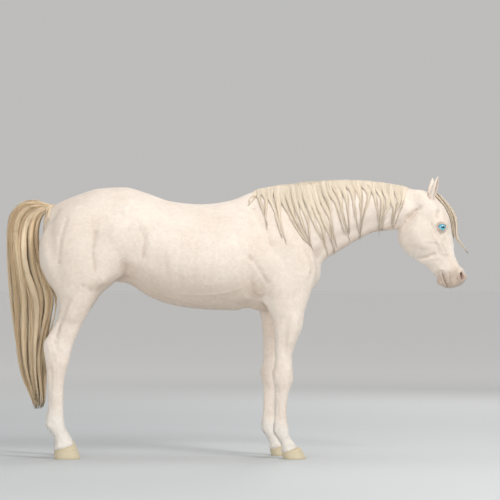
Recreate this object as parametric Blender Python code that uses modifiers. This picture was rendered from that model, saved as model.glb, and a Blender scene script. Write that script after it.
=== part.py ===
"""A horse standing at rest with a long level neck and its face carried steeply, at life size.

The body is lofted from rows of named sections, fused into one skin, given its muscle forms,
and then parted with thin flat cuts into trunk, neck, head and legs. Ears, eyes, hooves, mane,
forelock and tail are solids of their own. Units are metres, +X forward, +Z up.
"""

import math

import bmesh
import bpy
import numpy as np
from mathutils import Vector
from mathutils.bvhtree import BVHTree

WITHERS = 1.52  # height at the withers, which sets the size of everything
BUILT_AT = 1.52  # the height at which the rows below are written
CELL = 0.007  # grain of the fused skin
RING = 36  # points round a loft

# Trunk sections: x, top, bottom, half-widths high, middle and low, squareness.
TRUNK = {
    "buttock_end": (-1.098, 1.300, 1.150, 0.060, 0.070, 0.060, 2.0),
    "buttock": (-1.065, 1.385, 1.080, 0.100, 0.125, 0.120, 2.1),
    "tail_root": (-1.010, 1.430, 1.020, 0.140, 0.190, 0.170, 2.2),
    "croup_slope": (-0.900, 1.476, 0.985, 0.185, 0.250, 0.200, 2.3),
    "croup": (-0.770, 1.516, 0.985, 0.205, 0.272, 0.190, 2.3),
    "hip": (-0.630, 1.523, 0.978, 0.200, 0.276, 0.180, 2.2),
    "loin": (-0.500, 1.487, 0.902, 0.190, 0.270, 0.200, 2.2),
    "flank": (-0.360, 1.440, 0.853, 0.190, 0.282, 0.235, 2.2),
    "back": (-0.190, 1.426, 0.830, 0.185, 0.298, 0.265, 2.15),
    "saddle": (-0.030, 1.449, 0.824, 0.160, 0.296, 0.265, 2.1),
    "withers_rear": (0.080, 1.496, 0.820, 0.110, 0.280, 0.245, 2.0),
    "withers": (0.190, 1.519, 0.820, 0.085, 0.250, 0.215, 2.0),
    "shoulder": (0.300, 1.455, 0.838, 0.100, 0.215, 0.180, 2.0),
    "breast": (0.405, 1.280, 0.895, 0.110, 0.165, 0.140, 2.0),
    "breast_front": (0.462, 1.150, 0.985, 0.070, 0.105, 0.085, 2.0),
}

# Neck sections: crest x and z, throat x and z, half-widths high, middle and low, squareness.
NECK = {
    "root": (0.040, 1.480, 0.330, 0.940, 0.080, 0.170, 0.160, 2.0),
    "base": (0.170, 1.522, 0.440, 1.045, 0.070, 0.165, 0.140, 2.0),
    "low": (0.310, 1.548, 0.520, 1.115, 0.052, 0.138, 0.112, 2.0),
    "middle": (0.460, 1.562, 0.610, 1.172, 0.044, 0.115, 0.092, 2.0),
    "high": (0.610, 1.566, 0.700, 1.225, 0.040, 0.100, 0.082, 2.0),
    "throat": (0.760, 1.558, 0.785, 1.262, 0.040, 0.092, 0.076, 2.0),
    "nape": (0.900, 1.538, 0.855, 1.268, 0.044, 0.090, 0.074, 2.0),
    "occiput": (1.000, 1.512, 0.915, 1.285, 0.050, 0.088, 0.070, 2.0),
    "poll": (1.055, 1.485, 0.985, 1.330, 0.050, 0.078, 0.060, 2.0),
}

# The head hangs from the poll along its own axis. Its sections: distance down the axis, reach to the
# face side, reach to the jaw side, half-widths at face, cheek and jaw, squareness.
POLL = Vector((1.063, 0.0, 1.506))
HEAD_PITCH = math.radians(72.3)  # below the horizontal
HEAD = {
    "poll": (-0.012, -0.030, -0.100, 0.045, 0.060, 0.050, 2.0),
    "crown": (0.030, 0.022, -0.120, 0.068, 0.082, 0.055, 2.1),
    "temple": (0.080, 0.052, -0.140, 0.082, 0.092, 0.055, 2.2),
    "brow": (0.140, 0.074, -0.178, 0.092, 0.102, 0.062, 2.3),
    "eyes": (0.200, 0.081, -0.230, 0.090, 0.103, 0.072, 2.3),
    "jowl": (0.245, 0.075, -0.238, 0.078, 0.098, 0.076, 2.3),
    "cheek": (0.290, 0.066, -0.224, 0.064, 0.089, 0.072, 2.3),
    "face": (0.345, 0.059, -0.193, 0.052, 0.074, 0.056, 2.2),
    "bars": (0.400, 0.056, -0.153, 0.045, 0.060, 0.040, 2.2),
    "bridle": (0.450, 0.061, -0.115, 0.044, 0.053, 0.034, 2.2),
    "nostril": (0.500, 0.074, -0.088, 0.050, 0.057, 0.036, 2.3),
    "lips": (0.535, 0.079, -0.086, 0.050, 0.054, 0.038, 2.3),
    "lip_edge": (0.560, 0.058, -0.068, 0.040, 0.046, 0.030, 2.2),
    "lip_tip": (0.576, 0.026, -0.040, 0.024, 0.030, 0.020, 2.0),
}

# Leg sections, level slices from the top down: z, front x, back x, centre y, half-width, and how
# much wider the front is than the back.
FORELEG = {
    "blade_top": (1.430, 0.250, 0.060, 0.055, 0.045, 0.0),
    "blade": (1.350, 0.330, 0.000, 0.085, 0.088, 0.0),
    "blade_low": (1.250, 0.395, -0.005, 0.110, 0.110, 0.0),
    "arm": (1.150, 0.434, 0.020, 0.125, 0.115, 0.0),
    "point": (1.060, 0.450, 0.060, 0.132, 0.113, 0.0),
    "arm_low": (0.970, 0.436, 0.105, 0.135, 0.104, 0.0),
    "elbow": (0.890, 0.406, 0.145, 0.136, 0.092, 0.0),
    "forearm_top": (0.820, 0.382, 0.178, 0.138, 0.078, 0.05),
    "forearm": (0.740, 0.370, 0.204, 0.138, 0.066, 0.10),
    "forearm_low": (0.647, 0.334, 0.211, 0.135, 0.052, 0.10),
    "above_knee": (0.560, 0.311, 0.212, 0.132, 0.043, 0.05),
    "knee_top": (0.505, 0.312, 0.206, 0.131, 0.047, 0.10),
    "knee": (0.455, 0.313, 0.201, 0.131, 0.048, 0.15),
    "knee_low": (0.408, 0.306, 0.208, 0.131, 0.042, 0.15),
    "cannon_top": (0.365, 0.292, 0.214, 0.131, 0.034, 0.10),
    "cannon": (0.290, 0.281, 0.213, 0.131, 0.029, 0.10),
    "cannon_low": (0.225, 0.281, 0.208, 0.131, 0.031, 0.05),
    "fetlock_top": (0.185, 0.288, 0.203, 0.131, 0.037, 0.05),
    "fetlock": (0.152, 0.293, 0.201, 0.131, 0.040, 0.05),
    "pastern_top": (0.122, 0.299, 0.219, 0.131, 0.036, 0.00),
    "pastern": (0.095, 0.317, 0.238, 0.131, 0.033, 0.00),
    "pastern_low": (0.070, 0.336, 0.250, 0.132, 0.038, 0.00),
    "coronet": (0.045, 0.352, 0.250, 0.132, 0.048, 0.00),
    "in_hoof": (0.020, 0.356, 0.256, 0.132, 0.046, 0.00),
}
HINDLEG = {
    "pelvis": (1.455, -0.660, -0.880, 0.080, 0.070, 0.0),
    "rump": (1.390, -0.590, -0.985, 0.110, 0.135, 0.0),
    "haunch": (1.290, -0.560, -1.065, 0.125, 0.152, 0.0),
    "thigh_top": (1.190, -0.580, -1.108, 0.130, 0.155, 0.0),
    "thigh": (1.090, -0.610, -1.104, 0.138, 0.144, 0.0),
    "stifle_top": (1.020, -0.650, -1.076, 0.142, 0.130, 0.0),
    "stifle": (0.965, -0.705, -1.045, 0.142, 0.114, 0.0),
    "stifle_low": (0.915, -0.765, -1.010, 0.142, 0.098, 0.0),
    "gaskin_top": (0.860, -0.803, -0.994, 0.141, 0.082, 0.05),
    "gaskin": (0.794, -0.840, -0.999, 0.140, 0.066, 0.10),
    "gaskin_low": (0.735, -0.868, -1.024, 0.140, 0.051, 0.15),
    "hock_string": (0.690, -0.888, -1.052, 0.140, 0.045, 0.25),
    "hock_point": (0.640, -0.909, -1.080, 0.140, 0.043, 0.25),
    "hock": (0.585, -0.925, -1.076, 0.140, 0.046, 0.20),
    "hock_low": (0.530, -0.936, -1.067, 0.140, 0.045, 0.20),
    "shank_top": (0.470, -0.954, -1.059, 0.140, 0.037, 0.15),
    "shank": (0.380, -0.965, -1.052, 0.140, 0.031, 0.10),
    "shank_low": (0.280, -0.966, -1.051, 0.140, 0.031, 0.05),
    "fetlock_top": (0.225, -0.963, -1.063, 0.140, 0.037, 0.05),
    "fetlock": (0.190, -0.959, -1.068, 0.140, 0.041, 0.05),
    "pastern_top": (0.155, -0.950, -1.045, 0.140, 0.037, 0.00),
    "pastern": (0.122, -0.932, -1.020, 0.140, 0.033, 0.00),
    "pastern_low": (0.090, -0.914, -1.014, 0.140, 0.038, 0.00),
    "coronet": (0.058, -0.898, -1.018, 0.140, 0.048, 0.00),
    "in_hoof": (0.030, -0.895, -1.010, 0.140, 0.046, 0.00),
}
FAR_FORE_BACK = 0.064  # how far behind the near fore hoof the far one stands
FAR_HIND_BACK = 0.022
FORE_SWING = (1.12, 0.70)  # heights between which the far leg eases back
HIND_SWING = (0.98, 0.60)

# Muscle forms: view they are laid on from, height (below zero is a groove), reach, then the points.
# Side and inner points are (x, z), front and rear ones (y, z), under ones (x, y).
FORMS = {
    "blade_ridge": ("side", 0.007, 0.050, (0.170, 1.430), (0.270, 1.290), (0.370, 1.130)),
    "blade_front": ("side", -0.010, 0.040, (0.235, 1.480), (0.335, 1.330), (0.420, 1.170)),
    "blade_rear": ("side", -0.007, 0.050, (0.060, 1.410), (0.080, 1.290), (0.090, 1.180)),
    "triceps": ("side", 0.014, 0.095, (0.190, 1.080), (0.205, 0.970)),
    "triceps_rear": ("side", -0.013, 0.042, (0.068, 1.130), (0.080, 1.010), (0.100, 0.900)),
    "upper_arm": ("side", -0.008, 0.032, (0.190, 1.200), (0.260, 1.110), (0.320, 1.010)),
    "shoulder_point": ("side", 0.010, 0.060, (0.415, 1.070), (0.400, 1.020)),
    "arm_crease": ("side", -0.007, 0.028, (0.395, 0.960), (0.350, 0.915), (0.300, 0.900)),
    "elbow": ("side", 0.009, 0.032, (0.150, 0.885), (0.165, 0.865)),
    "breast": ("front", 0.014, 0.070, (0.075, 1.070), (0.075, 1.000)),
    "breast_parting": ("front", -0.018, 0.036, (0.0, 1.150), (0.0, 1.050), (0.0, 0.920)),
    "breast_foot": ("front", -0.008, 0.035, (0.020, 0.905), (0.100, 0.890)),
    "girth": ("under", -0.010, 0.070, (0.060, 0.000), (0.060, 0.120)),
    "ribs": ("side", 0.006, 0.160, (-0.120, 1.130), (-0.280, 1.110)),
    "last_rib": ("side", -0.009, 0.070, (-0.470, 1.330), (-0.460, 1.200), (-0.430, 1.080)),
    "flank_hollow": ("side", -0.020, 0.095, (-0.560, 1.250), (-0.545, 1.150)),
    "hip_point": ("side", 0.014, 0.052, (-0.600, 1.400), (-0.615, 1.380)),
    "loin": ("side", -0.006, 0.050, (-0.480, 1.455), (-0.600, 1.480)),
    "thigh_front": ("side", 0.012, 0.085, (-0.655, 1.280), (-0.685, 1.130)),
    "thigh_middle": ("side", -0.008, 0.055, (-0.790, 1.330), (-0.800, 1.180), (-0.800, 1.060)),
    "haunch": ("side", 0.010, 0.100, (-0.900, 1.330), (-0.910, 1.150)),
    "ham_groove": ("side", -0.011, 0.034, (-1.010, 1.390), (-1.035, 1.280), (-1.015, 1.120), (-0.965, 0.990)),
    "ham": ("side", 0.006, 0.050, (-1.075, 1.270), (-1.060, 1.120)),
    "stifle_cap": ("side", 0.012, 0.040, (-0.735, 1.005), (-0.745, 0.985)),
    "stifle_fold": ("side", 0.012, 0.032, (-0.600, 1.045), (-0.660, 1.010)),
    "stifle_crease": ("side", -0.009, 0.024, (-0.668, 1.005), (-0.714, 0.962), (-0.770, 0.938), (-0.835, 0.950)),
    "gaskin": ("side", 0.009, 0.050, (-0.875, 0.890), (-0.910, 0.800)),
    "gaskin_groove": ("side", -0.009, 0.026, (-0.935, 0.890), (-0.965, 0.790), (-1.010, 0.700)),
    "gaskin_inner": ("inner", 0.008, 0.050, (-0.880, 0.880), (-0.900, 0.820)),
    "hock_hollow": ("side", -0.006, 0.020, (-1.015, 0.680), (-1.005, 0.620)),
    "hock_hollow_inner": ("inner", -0.006, 0.020, (-1.015, 0.680), (-1.005, 0.620)),
    "hock_inner": ("inner", 0.005, 0.025, (-0.985, 0.600), (-0.990, 0.560)),
    "hind_tendon": ("side", -0.005, 0.013, (-1.032, 0.500), (-1.030, 0.280)),
    "hind_tendon_inner": ("inner", -0.005, 0.013, (-1.032, 0.500), (-1.030, 0.280)),
    "hind_sesamoid": ("side", 0.004, 0.018, (-1.048, 0.200), (-1.045, 0.185)),
    "hind_tail_parting": ("rear", -0.020, 0.045, (0.0, 1.300), (0.0, 1.180), (0.0, 1.050)),
    "forearm": ("side", 0.007, 0.042, (0.325, 0.780), (0.305, 0.660)),
    "forearm_groove": ("side", -0.005, 0.022, (0.262, 0.790), (0.262, 0.590)),
    "knee_front": ("front", 0.004, 0.030, (0.131, 0.490), (0.131, 0.430)),
    "knee_rear": ("rear", 0.007, 0.018, (0.135, 0.490), (0.135, 0.465)),
    "knee_side": ("side", -0.003, 0.014, (0.235, 0.500), (0.238, 0.430)),
    "fore_tendon": ("side", -0.005, 0.013, (0.240, 0.400), (0.238, 0.215)),
    "fore_tendon_inner": ("inner", -0.005, 0.013, (0.240, 0.400), (0.238, 0.215)),
    "fore_sesamoid": ("side", 0.004, 0.018, (0.218, 0.165), (0.222, 0.150)),
    "jugular": ("side", -0.011, 0.034, (0.450, 1.150), (0.600, 1.250), (0.740, 1.310), (0.860, 1.350)),
    "neck_band": ("side", 0.007, 0.065, (0.300, 1.360), (0.560, 1.420), (0.860, 1.450)),
    "crest_line": ("side", -0.004, 0.030, (0.220, 1.500), (0.600, 1.525), (0.920, 1.500)),
    "neck_wing": ("side", 0.009, 0.032, (0.930, 1.430), (0.960, 1.375)),
    "jaw_crease": ("side", -0.014, 0.026, (1.020, 1.405), (0.965, 1.345), (0.905, 1.268)),
}

# Forms of the head, in distance down its axis and out to the face side. Same order as above.
FACE_FORMS = {
    "temple_hollow": ("side", -0.010, 0.024, (0.150, 0.024), (0.166, 0.016)),
    "brow_ridge": ("side", 0.009, 0.022, (0.222, 0.050), (0.197, 0.032), (0.197, -0.002)),
    "under_eye": ("side", -0.005, 0.024, (0.262, 0.030), (0.268, -0.005)),
    "eye_back": ("side", -0.004, 0.020, (0.205, -0.030), (0.235, -0.036)),
    "facial_crest": ("side", 0.007, 0.016, (0.262, -0.022), (0.310, -0.016), (0.372, -0.008)),
    "masseter": ("side", 0.011, 0.080, (0.225, -0.120), (0.260, -0.110)),
    "masseter_front": ("side", -0.008, 0.022, (0.355, -0.180), (0.368, -0.120), (0.362, -0.060)),
    "masseter_rear": ("side", -0.004, 0.030, (0.130, -0.070), (0.180, -0.040)),
    "nasal_side": ("side", -0.008, 0.022, (0.300, 0.012), (0.370, 0.004), (0.444, 0.014)),
    "nasal_bone": ("side", 0.004, 0.016, (0.300, 0.045), (0.400, 0.042)),
    "nose_dip": ("side", -0.006, 0.020, (0.462, 0.040), (0.480, 0.010)),
    "nostril_rim": ("side", 0.008, 0.030, (0.495, 0.058), (0.500, 0.030), (0.535, 0.028)),
    "nostril": ("side", -0.020, 0.015, (0.508, 0.056), (0.522, 0.049), (0.536, 0.046)),
    "nostril_gap": ("face", -0.007, 0.020, (0.480, 0.0), (0.550, 0.0)),
    "mouth": ("side", -0.008, 0.011, (0.476, -0.055), (0.520, -0.058), (0.555, -0.050), (0.580, -0.045)),
    "mouth_corner": ("side", -0.005, 0.015, (0.470, -0.055), (0.478, -0.060)),
    "upper_lip": ("side", 0.004, 0.028, (0.535, 0.000), (0.555, -0.010)),
    "chin": ("side", 0.007, 0.028, (0.512, -0.086), (0.525, -0.082)),
    "jaw_gap": ("jaw", -0.016, 0.030, (0.210, 0.0), (0.420, 0.0)),
}

# Ears, from base to tip: how far along, width, wall, half-angle the cup closes round.
EAR = {
    "root": (0.00, 0.038, 0.012, 3.00),
    "base": (0.16, 0.043, 0.011, 2.90),
    "mouth": (0.30, 0.050, 0.009, 2.40),
    "wide": (0.46, 0.054, 0.008, 2.00),
    "leaf": (0.64, 0.047, 0.007, 1.90),
    "narrow": (0.80, 0.033, 0.006, 1.90),
    "near_tip": (0.93, 0.016, 0.005, 1.90),
    "tip": (1.00, 0.005, 0.002, 1.90),
}
EAR_BASE = Vector((1.076, 0.050, 1.446))
EAR_TIP = {"right": Vector((1.130, 0.088, 1.577)), "left": Vector((1.112, 0.094, 1.574))}
EAR_FACES = math.radians(28)  # how far outward from straight ahead the cups open

EYE_AT = (0.229, 0.013)  # down the head and out to the face
EYE_RADIUS = 0.0245
EYE_OUT = 0.0760  # centre from the mid-plane

# Hooves: coronet front and back x, their heights, half-width; sole front and back x, half-width.
HOOVES = {
    "fore": (0.357, 0.247, 0.066, 0.032, 0.051, 0.392, 0.260, 0.063, 0.132),
    "hind": (-0.902, -1.021, 0.080, 0.044, 0.050, -0.868, -1.016, 0.061, 0.140),
}

# Mane locks along the crest, from withers to poll: root x, end x and z. They end by turns in a tip
# and in the notch above the next tip.
MANE = {
    "start": (0.095, 0.082, 1.470),
    "wisp": (0.108, 0.063, 1.405),
    "notch_0": (0.125, 0.115, 1.462),
    "tip_1": (0.150, 0.176, 1.267),
    "notch_1": (0.180, 0.176, 1.425),
    "tip_2": (0.215, 0.272, 1.188),
    "notch_2": (0.245, 0.256, 1.390),
    "tip_3": (0.290, 0.421, 1.151),
    "notch_3": (0.350, 0.410, 1.352),
    "tip_4": (0.385, 0.520, 1.128),
    "tip_5": (0.430, 0.560, 1.126),
    "notch_5": (0.485, 0.535, 1.425),
    "tip_6": (0.545, 0.632, 1.205),
    "notch_6": (0.610, 0.634, 1.470),
    "tip_7": (0.665, 0.691, 1.208),
    "notch_7": (0.735, 0.760, 1.485),
    "tip_8": (0.800, 0.806, 1.232),
    "notch_8": (0.860, 0.865, 1.400),
    "tip_9": (0.910, 0.874, 1.280),
    "end": (0.965, 0.950, 1.450),
}
MANE_DEEP = 0.020
MANE_OFF = 0.0035  # clear of the skin
MANE_TRIANGLES = 780

# Forelock sections: outer x and z, inner x and z, half-width.
FORELOCK = {
    "root": (1.118, 1.500, 1.100, 1.492, 0.014),
    "crown": (1.150, 1.474, 1.126, 1.476, 0.028),
    "brow": (1.186, 1.432, 1.163, 1.433, 0.034),
    "forehead": (1.218, 1.391, 1.189, 1.389, 0.036),
    "fall": (1.237, 1.346, 1.205, 1.343, 0.034),
    "middle": (1.243, 1.300, 1.213, 1.300, 0.031),
    "low": (1.241, 1.258, 1.216, 1.262, 0.026),
    "turn": (1.249, 1.228, 1.224, 1.235, 0.019),
    "curl": (1.270, 1.199, 1.246, 1.206, 0.013),
    "thin": (1.291, 1.167, 1.275, 1.172, 0.008),
    "tip": (1.305, 1.138, 1.301, 1.141, 0.003),
}

# Tail sections: outer x and z, inner x and z, half-width.
TAIL = {
    "root": (-1.010, 1.434, -1.000, 1.370, 0.026),
    "dock": (-1.070, 1.440, -1.056, 1.372, 0.034),
    "arch": (-1.140, 1.459, -1.090, 1.346, 0.046),
    "bend": (-1.222, 1.437, -1.104, 1.312, 0.056),
    "drop": (-1.284, 1.372, -1.108, 1.268, 0.064),
    "top": (-1.304, 1.270, -1.108, 1.208, 0.071),
    "upper": (-1.302, 1.150, -1.098, 1.128, 0.074),
    "thigh": (-1.297, 1.030, -1.068, 1.030, 0.070),
    "gaskin": (-1.290, 0.915, -1.008, 0.920, 0.058),
    "above_hock": (-1.275, 0.795, -1.014, 0.800, 0.060),
    "hock": (-1.257, 0.675, -1.050, 0.680, 0.064),
    "below_hock": (-1.242, 0.555, -1.062, 0.570, 0.062),
    "low": (-1.218, 0.440, -1.064, 0.462, 0.054),
    "taper": (-1.175, 0.345, -1.068, 0.362, 0.040),
    "thin": (-1.148, 0.290, -1.078, 0.300, 0.024),
    "tip": (-1.138, 0.262, -1.100, 0.268, 0.006),
}

# Where the skin is parted: a point (x, z), the slope of the cut's normal from +X, in degrees.
NECK_CUT = ((0.330, 1.300), 32.0)
POLL_CUT = ((0.955, 1.392), -27.6)
FORE_CUT = 0.812  # height
HIND_CUT = 0.940
FORE_EDGE = -0.10  # x behind which no foreleg lies
HIND_EDGE = -0.64  # x ahead of which no hind leg lies
CHIN_FLOOR = 0.60
GAP = 0.0004
SIDES = ((-1, "right"), (1, "left"))

# Colours (linear red, green, blue) and roughness of the pieces, by the start of their names.
COLOURS = {
    "hoof": (0.66, 0.56, 0.37, 0.50),
    "eye": (0.16, 0.42, 0.52, 0.10),
    "mane": (0.85, 0.73, 0.58, 0.60),
    "forelock": (0.85, 0.73, 0.58, 0.60),
    "tail": (0.83, 0.66, 0.46, 0.60),
    "": (0.90, 0.80, 0.70, 0.70),
}

TRIANGLES = 5400  # of the whole skin once simplified
SOFT = 16  # passes of softening over the fused skin


def eased(rows, step):
    """Rows of numbers with smooth rows put between them, about step apart. It never overshoots."""
    table = np.array(list(rows), float)
    gaps = np.maximum(np.linalg.norm(np.diff(table[:, :2], axis=0), axis=1), 1e-6)
    slope = np.diff(table, axis=0) / gaps[:, None]
    tangent = np.zeros_like(table)
    before, after = slope[:-1], slope[1:]
    same = before * after > 0
    tangent[1:-1][same] = (2 * before * after)[same] / (before + after)[same]
    tangent[0], tangent[-1] = slope[0], slope[-1]
    made = []
    for i, gap in enumerate(gaps):
        count = max(1, round(gap / step))
        for k in range(count + (i == len(gaps) - 1)):
            t = k / count
            made.append(
                (2 * t**3 - 3 * t**2 + 1) * table[i]
                + (t**3 - 2 * t**2 + t) * gap * tangent[i]
                + (3 * t**2 - 2 * t**3) * table[i + 1]
                + (t**3 - t**2) * gap * tangent[i + 1]
            )
    return np.array(made)


def powered(value, power):
    return math.copysign(abs(value) ** (2 / power), value)


def smooth_step(value, start, stop):
    t = min(1.0, max(0.0, (value - start) / (stop - start)))
    return t * t * (3 - 2 * t)


def upright_ring(top, bottom, high, middle, low, power, points=RING):
    """A ring across the body between two points of its mid-plane, each (x, z)."""
    ring = []
    for k in range(points):
        angle = 2 * math.pi * k / points
        across = powered(math.cos(angle), power)
        down = (1 - powered(math.sin(angle), power)) / 2
        width = high * (1 - down) * (1 - 2 * down) + middle * 4 * down * (1 - down) + low * down * (2 * down - 1)
        x = top[0] + (bottom[0] - top[0]) * down
        z = top[1] + (bottom[1] - top[1]) * down
        ring.append((x, width * across, z))
    return ring


def level_ring(z, front, back, y, half, taper, power=2.15):
    """A ring across a leg at height z."""
    ring = []
    for k in range(RING):
        angle = 2 * math.pi * k / RING
        ahead = powered(math.cos(angle), power)
        across = powered(math.sin(angle), power)
        x = (front + back) / 2 + (front - back) / 2 * ahead
        ring.append((x, y + half * (1 + taper * ahead) * across, z))
    return ring


def placed(name, bm):
    """The bmesh as a scene object of that name."""
    bmesh.ops.recalc_face_normals(bm, faces=bm.faces)
    mesh = bpy.data.meshes.new(name)
    bm.to_mesh(mesh)
    bm.free()
    obj = bpy.data.objects.new(name, mesh)
    bpy.context.scene.collection.objects.link(obj)
    return obj


def loft(name, rings):
    """A closed mesh through rings of equal count, with a fan at each end."""
    bm = bmesh.new()
    made = [[bm.verts.new(p) for p in ring] for ring in rings]
    for one, two in zip(made, made[1:]):
        for a, b, c, d in zip(one, one[1:] + one[:1], two[1:] + two[:1], two):
            bm.faces.new((a, b, c, d))
    for ring in (made[0], made[-1]):
        hub = bm.verts.new(sum((v.co for v in ring), Vector()) / len(ring))
        for a, b in zip(ring, ring[1:] + ring[:1]):
            bm.faces.new((a, b, hub))
    return placed(name, bm)


def head_point(down, out):
    """(x, z) of a place on the head: distance down its axis from the poll, and out to the face side."""
    x = POLL.x + down * math.cos(HEAD_PITCH) + out * math.sin(HEAD_PITCH)
    z = POLL.z - down * math.sin(HEAD_PITCH) + out * math.cos(HEAD_PITCH)
    return x, z


def far_shift(x, z):
    """How far back the far leg is carried at a place."""
    if z < FORE_SWING[0] and x > -0.2:
        return FAR_FORE_BACK * (1 - smooth_step(z, FORE_SWING[1], FORE_SWING[0]))
    if z < HIND_SWING[0] and x < -0.66:
        return FAR_HIND_BACK * (1 - smooth_step(z, HIND_SWING[1], HIND_SWING[0]))
    return 0.0


def trunk_loft():
    rows = eased(TRUNK.values(), 0.02)
    return loft("trunk_form", [upright_ring((x, top), (x, low), *rest) for x, top, low, *rest in rows])


def neck_loft():
    rows = eased(NECK.values(), 0.02)
    return loft("neck_form", [upright_ring((cx, cz), (tx, tz), *rest) for cx, cz, tx, tz, *rest in rows])


def head_loft():
    rows = eased(HEAD.values(), 0.01)
    rings = [upright_ring(head_point(s, face), head_point(s, jaw), *rest) for s, face, jaw, *rest in rows]
    return loft("head_form", rings)


def leg_loft(name, rows, side):
    """A leg on the right (-1) or the left (1), the left one carried back."""
    rings = []
    for z, front, back, y, half, taper in eased(rows.values(), 0.012):
        shift = -far_shift(front, z) if side > 0 else 0.0
        rings.append(level_ring(z, front + shift, back + shift, side * y, half, taper))
    return loft(name, rings)


def baked(obj):
    """The object's evaluated mesh as its own mesh, with its modifiers gone."""
    graph = bpy.context.evaluated_depsgraph_get()
    mesh = bpy.data.meshes.new_from_object(obj.evaluated_get(graph))
    obj.modifiers.clear()
    obj.data = mesh
    return obj


def fused(parts):
    """One skin round closed meshes that overlap."""
    bm = bmesh.new()
    for part in parts:
        bm.from_mesh(part.data)
        bpy.data.objects.remove(part)
    body = placed("body", bm)
    remesh = body.modifiers.new("skin", "REMESH")
    remesh.mode = "VOXEL"
    remesh.voxel_size = CELL
    return baked(body)


def points_of(mesh):
    out = np.empty(len(mesh.vertices) * 3)
    mesh.vertices.foreach_get("co", out)
    return out.reshape(-1, 3)


def set_points(mesh, points):
    mesh.vertices.foreach_set("co", points.astype(np.float32).ravel())
    mesh.update()


def softened(body, passes):
    """Smooths the skin, pushing back out after each pass so that thin parts keep their size."""
    mesh = body.data
    edges = np.empty(len(mesh.edges) * 2, int)
    mesh.edges.foreach_get("vertices", edges)
    one, two = edges.reshape(-1, 2).T
    points = points_of(mesh)
    count = np.bincount(one, minlength=len(points)) + np.bincount(two, minlength=len(points))
    for turn in range(passes * 2):
        total = np.zeros_like(points)
        for axis in range(3):
            total[:, axis] = np.bincount(one, points[two, axis], len(points))
            total[:, axis] += np.bincount(two, points[one, axis], len(points))
        points += (0.62 if turn % 2 == 0 else -0.58) * (total / count[:, None] - points)
    set_points(mesh, points)


def lay(tree, view, point, side):
    """Where a form's point lies on the skin, and the normal there."""
    a, b = point
    if view == "side":
        start, way = Vector((a - (far_shift(a, b) if side > 0 else 0), side * 2, b)), Vector((0, -side, 0))
    elif view == "inner":
        start, way = Vector((a - (far_shift(a, b) if side > 0 else 0), 0, b)), Vector((0, side, 0))
    elif view == "front":
        start, way = Vector((3, side * a, b)), Vector((-1, 0, 0))
    elif view == "rear":
        start, way = Vector((-3 if a == 0 or b > 0.6 else 0.05, side * a, b)), Vector((1, 0, 0))
    elif view == "under":
        start, way = Vector((a, side * b, 0.0)), Vector((0, 0, 1))
    else:
        out = 1 if view == "face" else -1
        x, z = head_point(a, out)
        start, way = Vector((x, 0, z)), Vector((-math.sin(HEAD_PITCH), 0, -math.cos(HEAD_PITCH))) * out
    return tree.ray_cast(start, way)[:2]


def face_forms():
    """The head's forms with their side points turned into (x, z)."""
    made = {}
    for name, (view, height, reach, *line) in FACE_FORMS.items():
        made[name] = (view, height, reach, *[head_point(*p) if view == "side" else p for p in line])
    return made


def sculpted(body, forms):
    """Raises and sinks the skin along each form, on both sides."""
    mesh = body.data
    points = points_of(mesh)
    normals = np.empty(len(points) * 3)
    mesh.vertex_normals.foreach_get("vector", normals)
    normals = normals.reshape(-1, 3)
    bm = bmesh.new()
    bm.from_mesh(mesh)
    tree = BVHTree.FromBMesh(bm)
    bm.free()
    lift = np.zeros(len(points))
    for view, height, reach, *line in forms.values():
        for side in (-1, 1):
            laid = [lay(tree, view, point, side) for point in line]
            laid = [(np.array(place), np.array(normal)) for place, normal in laid if place is not None]
            best = np.full(len(points), 9.0)
            for (start, normal), (stop, _) in zip(laid, laid[1:]):
                along = stop - start
                t = np.clip((points - start) @ along / max(along @ along, 1e-9), 0, 1)
                gap = np.linalg.norm(points - start - t[:, None] * along, axis=1)
                gap[normals @ normal < -0.1] = 9.0
                best = np.minimum(best, gap)
            share = np.clip(1 - (best / reach) ** 2, 0, 1) ** 2
            centred = all(point[1] == 0 for point in line) or view in ("front", "rear") and line[0][0] == 0
            lift += height * share * (0.5 if centred else 1.0)
    set_points(mesh, points + normals * lift[:, None])


def slope(degrees, flip=1):
    return Vector((math.cos(math.radians(degrees)), 0, math.sin(math.radians(degrees)))) * flip


def thinned(obj, triangles, group="", factor=0.0):
    """The object with fewer triangles, more of them left where its group weighs less."""
    less = obj.modifiers.new("thin", "DECIMATE")
    less.ratio = triangles / sum(len(face.vertices) - 2 for face in obj.data.polygons)
    less.vertex_group = group
    less.vertex_group_factor = factor
    less.use_collapse_triangulate = True
    return baked(obj)


def simplified(body):
    """Fewer triangles, most of them left on the head and the lower legs."""
    group = body.vertex_groups.new(name="plain")
    points = points_of(body.data)
    poll, way = POLL_CUT
    ahead = (points - (poll[0], 0, poll[1])) @ np.array(slope(way))
    fine = np.where((ahead > 0) & (points[:, 2] > CHIN_FLOOR), 0.5, 0.0)
    fine = np.maximum(fine, np.clip((0.62 - points[:, 2]) / 0.1, 0, 0.45))
    for level in range(11):
        chosen = np.nonzero(np.round((1 - fine) * 10) == level)[0]
        if len(chosen):
            group.add([int(i) for i in chosen], level / 10, "REPLACE")
    return thinned(body, TRIANGLES, "plain", 0.02)


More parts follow.
